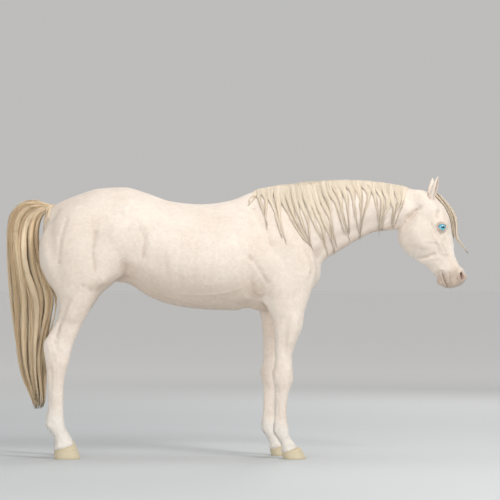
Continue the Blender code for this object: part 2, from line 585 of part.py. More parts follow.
def parted(bm, point, normal, within):
    """Cuts away what lies beyond a plane, for the faces that pass the test, and caps the cut."""
    point, normal = Vector(point), Vector(normal).normalized()
    faces = [f for f in bm.faces if within(f.calc_center_median())]
    edges = {e for f in faces for e in f.edges}
    verts = {v for f in faces for v in f.verts}
    bmesh.ops.bisect_plane(bm, geom=[*verts, *edges, *faces], dist=1e-6, plane_co=point, plane_no=normal)
    gone = []
    for face in bm.faces:
        middle = face.calc_center_median()
        if within(middle) and (middle - point).dot(normal) > 0:
            gone.append(face)
    bmesh.ops.delete(bm, geom=gone, context="FACES")
    rims = [e for e in bm.edges if e.is_boundary]
    made = bmesh.ops.holes_fill(bm, edges=rims, sides=0)
    bmesh.ops.triangulate(bm, faces=made["faces"])


def everywhere(_):
    return True


def flesh(body, name, cuts):
    """A piece of the skin left by cuts: point, normal, test."""
    bm = bmesh.new()
    bm.from_mesh(body.data)
    for point, normal, within in cuts:
        parted(bm, point, normal, within)
    return placed(name, bm)


def between(cut, degrees, back):
    """The plane of a cut, moved half the gap off it and facing away from what is kept."""
    normal = slope(degrees, -1 if back else 1)
    return Vector((cut[0], 0, cut[1])) - normal * GAP / 2, normal


def coronet(kind, side):
    """A point on a hoof's upper face and that face's upward normal."""
    front, back, z_front, z_back = HOOVES[kind][:4]
    shift = far_shift(front, 0.1) if side > 0 else 0.0
    return Vector((front - shift, 0, z_front)), Vector((z_back - z_front, 0, front - back)).normalized()


def hoof(name, kind, side):
    """A hoof from its slanted upper face down to a flat sole on the floor."""
    front, back, z_front, z_back, half, toe, heel, sole_half, y = HOOVES[kind]
    shift = far_shift(front, 0.1) if side > 0 else 0.0
    rings = []
    for down in (0.0, 0.12, 0.55, 0.97, 1.0):
        bulge = 1.03 if down == 0.12 else 1.0
        trim = 0.97 if down == 1.0 else 1.0
        a = front + (toe - front) * down
        b = back + (heel - back) * down
        wide = (half + (sole_half - half) * down) * bulge * trim
        middle = b + (a - b) * 0.46
        ring = []
        for k in range(18):
            angle = 2 * math.pi * k / 18
            ahead, across = math.cos(angle), math.sin(angle)
            reach = (a - middle) if ahead > 0 else (middle - b)
            if ahead < 0:
                ahead, across = powered(ahead, 2.6), powered(across, 2.6) * (1 + 0.22 * powered(ahead, 2.6))
            x = middle + reach * ahead * trim
            z_top = z_back + (z_front - z_back) * (x - b) / (a - b)
            ring.append((x - shift, side * y + wide * across, z_top * (1 - down)))
        rings.append(ring)
    return loft(name, rings)


def ear(name, side):
    """A cupped ear with a pointed tip, open toward the front and a little outward."""
    tip = EAR_TIP[name.split("_")[1]].copy()
    base = EAR_BASE.copy()
    base.y *= side
    tip.y *= side
    axis = (tip - base).normalized()
    ahead = Vector((math.cos(EAR_FACES), side * math.sin(EAR_FACES), 0))
    ahead = (ahead - axis * ahead.dot(axis)).normalized()
    across = axis.cross(ahead)
    rings = []
    for t, width, wall, closes in EAR.values():
        middle = base.lerp(tip, t) + ahead * 0.012 * math.sin(math.pi * min(1.0, t * 1.1))
        outer = [closes * (2 * k / 6 - 1) for k in range(7)]
        inner = [0.94 * closes * (1 - 2 * k / 4) for k in range(5)]
        ring = []
        for angles, size in ((outer, width / 2), (inner, max(width / 2 - wall, 0.0008))):
            for angle in angles:
                ring.append(middle - ahead * size * math.cos(angle) + across * size * 0.88 * math.sin(angle))
        rings.append(ring)
    return loft(name, rings)


def eye_spot(side):
    x, z = head_point(*EYE_AT)
    return Vector((x, side * EYE_OUT, z))


def ball(name, place, radius):
    bm = bmesh.new()
    bmesh.ops.create_icosphere(bm, subdivisions=2, radius=radius)
    bmesh.ops.translate(bm, verts=bm.verts, vec=place)
    return placed(name, bm)


def carved(obj, cutter, mode="DIFFERENCE"):
    """The object with a cutter taken out of it. The cutter is used up."""
    cut = obj.modifiers.new("cut", "BOOLEAN")
    cut.operation = mode
    cut.solver = "EXACT"
    cut.object = cutter
    baked(obj)
    bpy.data.objects.remove(cutter)
    return obj


def swollen(obj, by):
    """A copy of an object pushed out along its normals."""
    copy = bpy.data.objects.new(obj.name + "_swollen", obj.data.copy())
    bpy.context.scene.collection.objects.link(copy)
    normals = np.empty(len(copy.data.vertices) * 3)
    copy.data.vertex_normals.foreach_get("vector", normals)
    set_points(copy.data, points_of(copy.data) + normals.reshape(-1, 3) * by)
    return copy


def filled_in(rows):
    """Rows of numbers with one more half-way between each two."""
    rows = list(rows)
    made = []
    for one, two in zip(rows, rows[1:]):
        made += [one, tuple((a + b) / 2 for a, b in zip(one, two))]
    return made + rows[-1:]


def largest(obj):
    """The object with only its largest loose piece left."""
    bm = bmesh.new()
    bm.from_mesh(obj.data)
    unseen = set(bm.verts)
    groups = []
    while unseen:
        group, front = set(), [unseen.pop()]
        while front:
            vert = front.pop()
            group.add(vert)
            near = [edge.other_vert(vert) for edge in vert.link_edges]
            front += [other for other in near if other in unseen]
            unseen.difference_update(near)
        groups.append(group)
    groups.sort(key=len)
    bmesh.ops.delete(bm, geom=[vert for group in groups[:-1] for vert in group], context="VERTS")
    bm.to_mesh(obj.data)
    bm.free()
    return obj


def mane(tree):
    """Locks fallen to the right of the crest: a sheet laid on the neck, thick at the root."""
    steps = 12
    columns = []
    for root, end_x, end_z in filled_in(filled_in(MANE.values())):
        top = tree.ray_cast(Vector((root, 0, 3)), Vector((0, 0, -1)))[0]
        column = [(Vector((root, 0.016, top.z - 0.004)), Vector((0, 0.5, 0.87)))]
        column.append((top, Vector((0, -0.15, 0.99))))
        y = 0.0
        for k in range(1, steps + 1):
            t = k / steps
            bend = t + 0.12 * math.sin(math.pi * t)
            x = root + (end_x - root) * bend
            z = top.z + (end_z - top.z) * t - (0.010 if k == 1 else 0)
            hit, normal = tree.ray_cast(Vector((x, 0.0, z)), Vector((0, -1, 0)))[:2]
            if hit is None or hit.y > y:
                hit = Vector((x, y, z))
                normal = Vector((0, -1, 0))
            y = hit.y if t < 0.85 else min(y, hit.y)
            normal = Vector((normal.x * 0.3, min(normal.y, -0.5), max(normal.z, 0))).normalized()
            column.append((hit, normal))
        columns.append(column)
    bm = bmesh.new()
    inner, outer = [], []
    for i, column in enumerate(columns):
        last = len(column) - 1
        at_end = i in (0, len(columns) - 1)
        inner.append([bm.verts.new(p + n * MANE_OFF) for p, n in column])
        row = []
        for k, (p, n) in enumerate(column):
            deep = MANE_DEEP * (1 - 0.75 * (k / last) ** 2)
            if k < 2:
                deep = MANE_DEEP * (0.30, 0.42)[k]
            if at_end:
                deep *= 0.4
            row.append(bm.verts.new(p + n * (MANE_OFF + max(deep, 0.003))))
        outer.append(row)
    for rows in (inner, outer):
        for one, two in zip(rows, rows[1:]):
            for a, b, c, d in zip(one, one[1:], two[1:], two):
                bm.faces.new((a, b, c, d))
    for one, two in ((inner[0], outer[0]), (inner[-1], outer[-1])):
        for a, b, c, d in zip(one, one[1:], two[1:], two):
            bm.faces.new((a, b, c, d))
    for k in (0, -1):
        for i in range(len(columns) - 1):
            bm.faces.new((inner[i][k], inner[i + 1][k], outer[i + 1][k], outer[i][k]))
    bmesh.ops.triangulate(bm, faces=bm.faces)
    return placed("mane", bm)


def bundle(name, rows, step, points):
    """A tress through sections of outer and inner points of the mid-plane."""
    rings = []
    for outer_x, outer_z, inner_x, inner_z, half in eased(rows.values(), step):
        rings.append(upright_ring((outer_x, outer_z), (inner_x, inner_z), half * 0.8, half, half * 0.8, 2.2, points))
    return loft(name, rings)


def whole_skin():
    """The body in one closed skin, with its forms, simplified."""
    body = fused(
        [
            trunk_loft(),
            neck_loft(),
            head_loft(),
            leg_loft("fore_right", FORELEG, -1),
            leg_loft("fore_left", FORELEG, 1),
            leg_loft("hind_right", HINDLEG, -1),
            leg_loft("hind_left", HINDLEG, 1),
        ]
    )
    softened(body, SOFT)
    sculpted(body, FORMS)
    sculpted(body, face_forms())
    softened(body, 2)
    simplified(body)
    return body


def body_pieces(body):
    """The skin parted into trunk, neck, head and legs, with a hoof under each leg."""
    neck_rear, neck_front = between(*NECK_CUT, False), between(*NECK_CUT, True)
    poll_rear, poll_front = between(*POLL_CUT, False), between(*POLL_CUT, True)
    up, down = Vector((0, 0, 1)), Vector((0, 0, -1))
    fore_low, fore_high = (0.25, 0, FORE_CUT - GAP / 2), (0.25, 0, FORE_CUT + GAP / 2)
    hind_low, hind_high = (-0.9, 0, HIND_CUT - GAP / 2), (-0.9, 0, HIND_CUT + GAP / 2)
    trunk_cuts = [
        (*neck_rear, lambda p: p.z > 0.9),
        (fore_high, down, lambda p: p.x > FORE_EDGE and p.z < 1.0),
        (hind_high, down, lambda p: p.x < HIND_EDGE),
    ]
    pieces = {
        "trunk": flesh(body, "trunk", trunk_cuts),
        "neck": flesh(body, "neck", [(*neck_front, everywhere), (*poll_rear, everywhere)]),
        "head": flesh(body, "head", [((0, 0, CHIN_FLOOR), down, everywhere), (*poll_front, everywhere)]),
    }
    for side, way in SIDES:
        for kind, low, edge, back in (("fore", fore_low, FORE_EDGE, -1), ("hind", hind_low, HIND_EDGE, 1)):
            spot, normal = coronet(kind, side)
            leg_cuts = [
                (low, up, everywhere),
                ((edge, 0, 0), Vector((back, 0, 0)), everywhere),
                ((0, 0, 0), Vector((0, -side, 0)), everywhere),
                (spot + normal * GAP, -normal, everywhere),
            ]
            pieces[f"{kind}leg_{way}"] = flesh(body, f"{kind}leg_{way}", leg_cuts)
            pieces[f"hoof_{kind}_{way}"] = hoof(f"hoof_{kind}_{way}", kind, side)
    return pieces


def face_pieces(pieces):
    """Eyes in sockets of the head, and the ears on it."""
    for side, way in SIDES:
        carved(pieces["head"], ball("socket", eye_spot(side), EYE_RADIUS + 2 * GAP))
        pieces[f"eye_{way}"] = ball(f"eye_{way}", eye_spot(side), EYE_RADIUS)
        pieces[f"ear_{way}"] = carved(ear(f"ear_{way}", side), swollen(pieces["head"], GAP))


def hair_pieces(pieces, body):
    """Mane, forelock and tail, each clear of the flesh it grows from."""
    bm = bmesh.new()
    bm.from_mesh(body.data)
    pieces["mane"] = mane(BVHTree.FromBMesh(bm))
    bm.free()
    for clear, left in ((MANE_OFF * 0.8, MANE_TRIANGLES), (2 * GAP, None)):
        for name in ("neck", "trunk"):
            carved(pieces["mane"], swollen(pieces[name], clear))
        if left:
            thinned(largest(pieces["mane"]), left)
    largest(pieces["mane"])
    pieces["forelock"] = carved(bundle("forelock", FORELOCK, 0.030, 8), swollen(pieces["head"], 4 * GAP))
    pieces["tail"] = bundle("tail", TAIL, 0.075, 14)
    for name in ("trunk", "hindleg_right", "hindleg_left"):
        carved(pieces["tail"], swollen(pieces[name], 2 * GAP))


def finish(pieces):
    """Real size, centred over the floor, each piece in its own material, all in one collection."""
    spots = np.vstack([points_of(piece.data) for piece in pieces.values()])
    middle = (spots.min(axis=0) + spots.max(axis=0)) / 2
    middle[2] = 0.0
    herd = bpy.data.collections.new("horse")
    bpy.context.scene.collection.children.link(herd)
    for name, piece in pieces.items():
        set_points(piece.data, (points_of(piece.data) - middle) * (WITHERS / BUILT_AT))
        kind = next(key for key in COLOURS if name.startswith(key))
        red, green, blue, rough = COLOURS[kind]
        paint = bpy.data.materials.new(name)
        paint.use_nodes = True
        shader = paint.node_tree.nodes["Principled BSDF"]
        shader.inputs["Base Color"].default_value = (red, green, blue, 1)
        shader.inputs["Roughness"].default_value = rough
        shader.inputs["Metallic"].default_value = 0.0
        piece.data.materials.clear()
        piece.data.materials.append(paint)
        piece.data.shade_smooth()
        herd.objects.link(piece)
        bpy.context.scene.collection.objects.unlink(piece)


def main():
    for old in list(bpy.data.objects):
        bpy.data.objects.remove(old)
    body = whole_skin()
    pieces = body_pieces(body)
    face_pieces(pieces)
    hair_pieces(pieces, body)
    bpy.data.objects.remove(body)
    finish(pieces)


main()
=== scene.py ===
import math

import bmesh
import bpy
import numpy as np
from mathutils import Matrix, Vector
from mathutils.bvhtree import BVHTree


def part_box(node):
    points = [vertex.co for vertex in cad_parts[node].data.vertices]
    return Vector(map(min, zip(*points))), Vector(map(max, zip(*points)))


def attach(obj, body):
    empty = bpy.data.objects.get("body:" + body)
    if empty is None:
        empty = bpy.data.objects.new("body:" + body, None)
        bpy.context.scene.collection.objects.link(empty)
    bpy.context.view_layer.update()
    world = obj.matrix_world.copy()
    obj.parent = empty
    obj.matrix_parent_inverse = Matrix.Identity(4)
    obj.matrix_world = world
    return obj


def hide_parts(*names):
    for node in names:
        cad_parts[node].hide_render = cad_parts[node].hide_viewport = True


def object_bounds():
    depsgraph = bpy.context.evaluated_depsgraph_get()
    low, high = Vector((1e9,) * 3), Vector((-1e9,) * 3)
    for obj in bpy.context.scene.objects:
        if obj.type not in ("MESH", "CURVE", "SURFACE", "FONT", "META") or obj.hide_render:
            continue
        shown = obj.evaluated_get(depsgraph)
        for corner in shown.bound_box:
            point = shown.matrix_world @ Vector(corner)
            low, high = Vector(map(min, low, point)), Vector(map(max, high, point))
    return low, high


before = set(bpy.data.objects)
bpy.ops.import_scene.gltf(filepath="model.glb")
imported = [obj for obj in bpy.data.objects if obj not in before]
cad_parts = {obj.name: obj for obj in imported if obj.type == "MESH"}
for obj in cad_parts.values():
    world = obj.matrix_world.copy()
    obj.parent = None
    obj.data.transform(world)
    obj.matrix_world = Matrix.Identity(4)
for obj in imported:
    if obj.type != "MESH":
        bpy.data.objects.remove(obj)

cadLow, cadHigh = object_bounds()
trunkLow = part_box("trunk")[0]
eyeLow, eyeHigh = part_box("eye_right")
nearFore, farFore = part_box("hoof_fore_right")[0].x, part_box("hoof_fore_left")[0].x
nearHind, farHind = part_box("hoof_hind_right")[0].x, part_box("hoof_hind_left")[0].x
eyeSpot = (eyeLow + eyeHigh) / 2
rump = trunkLow.x  # everything on the body is measured ahead of it
dice = np.random.default_rng(11)

headSetup = {
    "pitch": math.radians(72.3),  # of the face below the horizontal
    "eye": (0.229, 0.013),  # the eye's place down the head and out to the face
}
downWay = np.array((math.cos(headSetup["pitch"]), 0.0, -math.sin(headSetup["pitch"])))
outWay = np.array((math.sin(headSetup["pitch"]), 0.0, math.cos(headSetup["pitch"])))


def linear(hexColour):  # an sRGB hex colour as linear light
    parts = [int(hexColour[k:k + 2], 16) / 255 for k in (1, 3, 5)]
    return tuple(c / 12.92 if c <= 0.04045 else ((c + 0.055) / 1.055) ** 2.4 for c in parts) + (1.0,)


def step(value, start, stop):  # 0 at start, 1 at stop, eased at both ends
    t = np.clip((value - start) / (stop - start), 0.0, 1.0)
    return t * t * (3 - 2 * t)


def onHead(down, out):  # head measures to x and z
    lengths = down - headSetup["eye"][0], out - headSetup["eye"][1]
    place = np.array(eyeSpot) + downWay * lengths[0] + outWay * lengths[1]
    return float(place[0]), float(place[2])


def headMeasures(points):  # down the head, and out to the face
    away = points - np.array(eyeSpot)
    return away @ downWay + headSetup["eye"][0], away @ outWay + headSetup["eye"][1]


def fromSpot(down, out, spot):
    return np.hypot(down - spot[0], out - spot[1])


def softBetween(before, here, after, beyond, t):  # from here to after, on a soft curve through all four
    slopeIn, slopeOut = (after - before) / 2, (beyond - here) / 2
    return ((2 * t ** 3 - 3 * t ** 2 + 1) * here + (t ** 3 - 2 * t ** 2 + t) * slopeIn
            + (3 * t ** 2 - 2 * t ** 3) * after + (t ** 3 - t ** 2) * slopeOut)


def smoothCurve(rows, at):  # a soft curve through rows, read at each share of its length
    rows = np.asarray(rows, float)
    last = len(rows) - 1
    at = np.clip(np.asarray(at, float), 0, 1) * last
    k = np.minimum(at.astype(int), last - 1)
    t = (at - k)[..., None]
    return softBetween(rows[np.maximum(k - 1, 0)], rows[k], rows[k + 1], rows[np.minimum(k + 2, last)], t)


def unit(vectors):
    return vectors / np.maximum(np.linalg.norm(vectors, axis=-1, keepdims=True), 1e-9)


def coordsOf(mesh, kind="co"):
    flat = np.empty(len(mesh.vertices) * 3)
    mesh.vertices.foreach_get(kind, flat)
    return flat.reshape(-1, 3)


def normalsOf(mesh):
    return coordsOf(mesh, "normal")


def setCoords(mesh, points):
    mesh.vertices.foreach_set("co", np.ascontiguousarray(points, float).ravel())
    mesh.update()


def edgesOf(mesh):
    flat = np.empty(len(mesh.edges) * 2, int)
    mesh.edges.foreach_get("vertices", flat)
    return flat.reshape(-1, 2)


def active(obj):  # only this object selected
    bpy.ops.object.select_all(action="DESELECT")
    obj.select_set(True)
    bpy.context.view_layer.objects.active = obj
    return obj


def applied(obj, kind, **settings):  # adds a modifier and applies it
    active(obj)
    modifier = obj.modifiers.new(kind.title(), kind)
    for name, value in settings.items():
        setattr(modifier, name, value)
    bpy.ops.object.modifier_apply(modifier=modifier.name)


def treeOf(obj):
    bm = bmesh.new()
    bm.from_mesh(obj.data)
    tree = BVHTree.FromBMesh(bm)
    bm.free()
    return tree


def copyOf(node, name, toQuads=False):  # a CAD node's shape as one merged mesh of its own
    obj = bpy.data.objects.new(name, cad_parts[node].data.copy())
    bpy.context.scene.collection.objects.link(obj)
    obj.data.materials.clear()
    active(obj)
    bpy.ops.object.mode_set(mode="EDIT")
    bpy.ops.mesh.select_all(action="SELECT")
    bpy.ops.mesh.remove_doubles(threshold=0.00005)
    if toQuads:
        bpy.ops.mesh.tris_convert_to_quads(face_threshold=1.2, shape_threshold=1.2)
    bpy.ops.object.mode_set(mode="OBJECT")
    return obj


def painted(obj, name, values):  # a number or a colour kept on each point
    kind = "FLOAT_COLOR" if np.ndim(values) == 2 and np.shape(values)[1] == 4 else "FLOAT"
    layer = obj.data.attributes.get(name) or obj.data.attributes.new(name, kind, "POINT")
    layer.data.foreach_set("color" if kind == "FLOAT_COLOR" else "value",
                           np.asarray(values, np.float32).ravel())


def inUse(sockets, name=None):  # of several sockets with one name, the one that the node uses
    if isinstance(name, int):
        return sockets[name]
    return next(socket for socket in sockets if socket.enabled and name in (None, socket.name))


def joined(tree, source, socket):  # links a node or one of its outputs, or sets a plain value
    if isinstance(source, bpy.types.Node):
        source = inUse(source.outputs)
    if isinstance(source, bpy.types.NodeSocket):
        tree.links.new(source, socket)
    else:
        socket.default_value = source


def addNode(tree, kind, links=None, **settings):  # a shader node with its settings and links
    node = tree.nodes.new("ShaderNode" + kind)
    for name, value in settings.items():
        setattr(node, name, value)
    for name, source in (links or {}).items():
        joined(tree, source, inUse(node.inputs, name))
    return node


def layered(tree, colour, *tints):  # lays tints over a colour, each in a share that follows a value's range
    for tint, value, (start, stop), (least, most) in tints:
        share = addNode(tree, "MapRange", {"Value": value, "From Min": start, "From Max": stop,
                                           "To Min": least, "To Max": most})
        colour = addNode(tree, "Mix", {"Factor": share, "A": colour, "B": linear(tint)}, data_type="RGBA")
    return colour


def setStops(ramp, *stops):  # a colour ramp's places and colours
    elements = ramp.color_ramp.elements
    elements[0].position, elements[1].position = stops[0][0], stops[-1][0]
    for place, _ in stops[1:-1]:
        elements.new(place)
    for element, (_, colour) in zip(elements, stops):
        element.color = linear(colour)


def finished(tree, shader, finish):  # links or sets the shader's own sockets
    for name, source in finish.items():
        joined(tree, source, shader.inputs[name])


def newMaterial(name):
    material = bpy.data.materials.new(name)
    material.use_nodes = True
    tree = material.node_tree
    return material, tree, tree.nodes["Principled BSDF"]


nostrilSetup = {
    "at": (0.528, 0.0435),  # down the head and out to the face
    "turn": (0.1, 0.0, 0.0),  # added to the skin's own direction there
    # radius every 30 degrees
    "opening": (0.0132, 0.0172, 0.025, 0.0285, 0.0242, 0.0166, 0.0138, 0.016, 0.0214, 0.024, 0.0204, 0.015),
    "band": 0.015,
    "reach": 0.022,
}
skinSetup = {
    "flesh": ("trunk", "neck", "head", "foreleg_right", "foreleg_left", "hindleg_right", "hindleg_left"),
    "filled": ("eye_right", "eye_left"),
    "cell": 0.0055,  # grain of the fused skin
    "swell": 0.0008,  # closes the gaps between the nodes
    "depth": 0.003,  # of the coat on the trunk
    "legDepth": 0.0012,
    "headDepth": 0.001,
    "softPasses": 60,
    "evenPasses": 14,
    "triangles": 196000,
    "headBehindEye": 0.215,  # from the eye back to the parting of head and neck
    "headLean": (0.886, 0.0, -0.463),
    "legTop": (0.8, 0.96),  # heights over which leg turns into body
    # zones of the head cut finer and slimmed least, as down the head, out to the face and radius
    "fine": ((*headSetup["eye"], 0.05), (0.545, 0.045, 0.062), (0.53, -0.05, 0.072)),
    "finest": ((*headSetup["eye"], 0.036), (*nostrilSetup["at"], 0.037)),
    "kept": ((*headSetup["eye"], 0.042), (0.53, 0.045, 0.046), (0.53, -0.05, 0.06)),
    "foldAngle": 0.75,  # radians between two faces, past which slimming has folded them
    "foldPasses": 14,
    "inside": 0.0008,  # the least that the skin keeps within the solids' box
}
footSetup = {"above": 0.012, "beside": 0.02, "sunk": 0.0045, "fade": (0.006, 0.0022)}
hoofNodes = {
    "hoof_fore_right": "hoofForeRight", "hoof_fore_left": "hoofForeLeft",
    "hoof_hind_right": "hoofHindRight", "hoof_hind_left": "hoofHindLeft",
}


def headShare(points):  # 1 on the head, 0 behind the jaw and poll
    ahead = (points - np.array(eyeSpot)) @ np.array(skinSetup["headLean"]) + skinSetup["headBehindEye"]
    return step(ahead, -0.035, 0.045) * step(points[:, 2], 0.85, 0.93)


def legShare(points):  # 1 on the legs
    return 1 - step(points[:, 2], *skinSetup["legTop"])


def relaxed(points, edges, passes, rates, share):  # each point moves towards the mean of its neighbours
    a, b = edges.T
    n = len(points)
    count = np.maximum(np.bincount(a, minlength=n) + np.bincount(b, minlength=n), 1)[:, None]
    for _ in range(passes):
        for rate in rates:
            total = np.stack([np.bincount(a, points[b, k], n) + np.bincount(b, points[a, k], n)
                              for k in range(3)], 1)
            points = points + rate * share[:, None] * (total / count - points)
    return points


def fusedFlesh():  # the flesh nodes as one closed skin
    parts = [copyOf(node, node + "Flesh") for node in skinSetup["flesh"] + skinSetup["filled"]]
    for part in parts:
        applied(part, "DISPLACE", strength=skinSetup["swell"], mid_level=0.0)
    active(parts[0])
    for part in parts:
        part.select_set(True)
    bpy.ops.object.join()
    body = parts[0]
    body.name = body.data.name = "skin"
    applied(body, "REMESH", mode="VOXEL", voxel_size=skinSetup["cell"], use_smooth_shade=True)
    points, edges = coordsOf(body.data), edgesOf(body.data)
    head, leg = headShare(points), legShare(points)
    points = relaxed(points, edges, skinSetup["softPasses"], (0.6,), (1 - leg) * (1 - 0.96 * head) + 0.04)
    points = relaxed(points, edges, skinSetup["evenPasses"], (0.62, -0.6), np.ones(len(points)))
    setCoords(body.data, points)
    depth = skinSetup["depth"] + (skinSetup["legDepth"] - skinSetup["depth"]) * leg
    depth += (skinSetup["headDepth"] - depth) * head
    depth *= step(points[:, 2], 0.085, 0.12)  # down to the hooves it keeps its full width
    setCoords(body.data, points - normalsOf(body.data) * depth[:, None])
    return body


def strokePoints(tree, view, point, side):  # where a form's point lies on the skin
    a, b = point
    ahead = rump + a
    if view in ("side", "inner") and side > 0:
        ahead -= farStep(a, b)
    if view == "side":
        start, way = (ahead, side * 2, b), (0, -side, 0)
    elif view == "inner":
        start, way = (ahead, 0.0, b), (0, side, 0)
    elif view == "face":  # down the head and off its middle
        x, z = onHead(a, 0.4)
        start, way = (x, side * b, z), tuple(-outWay)
    elif view == "jaw":
        x, z = onHead(a, -0.5)
        start, way = (x, side * b, z), tuple(outWay)
    else:  # the head from the side: down it and out to the face
        x, z = onHead(a, b)
        start, way = (x, side * 2, z), (0, -side, 0)
    place, normal = tree.ray_cast(Vector(start), Vector(way))[:2]
    return (np.array(place), np.array(normal)) if place is not None else None


def farStep(a, height):  # how far the far leg stands behind the near one
    if a > 0.9:
        return (nearFore - farFore) * float(step(height, 1.12, 0.7))
    return (nearHind - farHind) * float(step(height, 0.98, 0.6)) if a < 0.5 else 0.0


def sculpted(obj, strokes):  # raises or sinks the skin along each form, on both sides
    points, normals, tree = coordsOf(obj.data), normalsOf(obj.data), treeOf(obj)
    lift = np.zeros(len(points))
    listed = [(*kind, *form) for kind, forms in strokes.items() for form in forms.values()]
    for view, edge, height, reach, *line in listed:
        middle = view in ("face", "jaw") and all(point[1] == 0 for point in line)
        for side in (-1,) if middle else (-1, 1):
            laid = [spot for spot in (strokePoints(tree, view, point, side) for point in line) if spot]
            if not laid:
                continue
            places = np.array([spot[0] for spot in laid])
            within = (points > places.min(0) - reach) & (points < places.max(0) + reach)
            near = np.flatnonzero(within.all(1))
            best = np.full(len(near), 9.0)
            for (start, normal), (stop, _) in zip(laid, laid[1:] or laid):
                along = stop - start
                t = np.clip((points[near] - start) @ along / max(along @ along, 1e-9), 0, 1)
                gap = np.linalg.norm(points[near] - start - t[:, None] * along, axis=1)
                gap[normals[near] @ normal < -0.1] = 9.0
                best = np.minimum(best, gap)
            share = np.clip(1 - (best / reach) ** 2, 0, 1) ** 2
            if edge == "sharp":
                share = np.clip(1 - best / reach, 0, 1) ** 2
            lift[near] += height * share
    setCoords(obj.data, points + normals * lift[:, None])


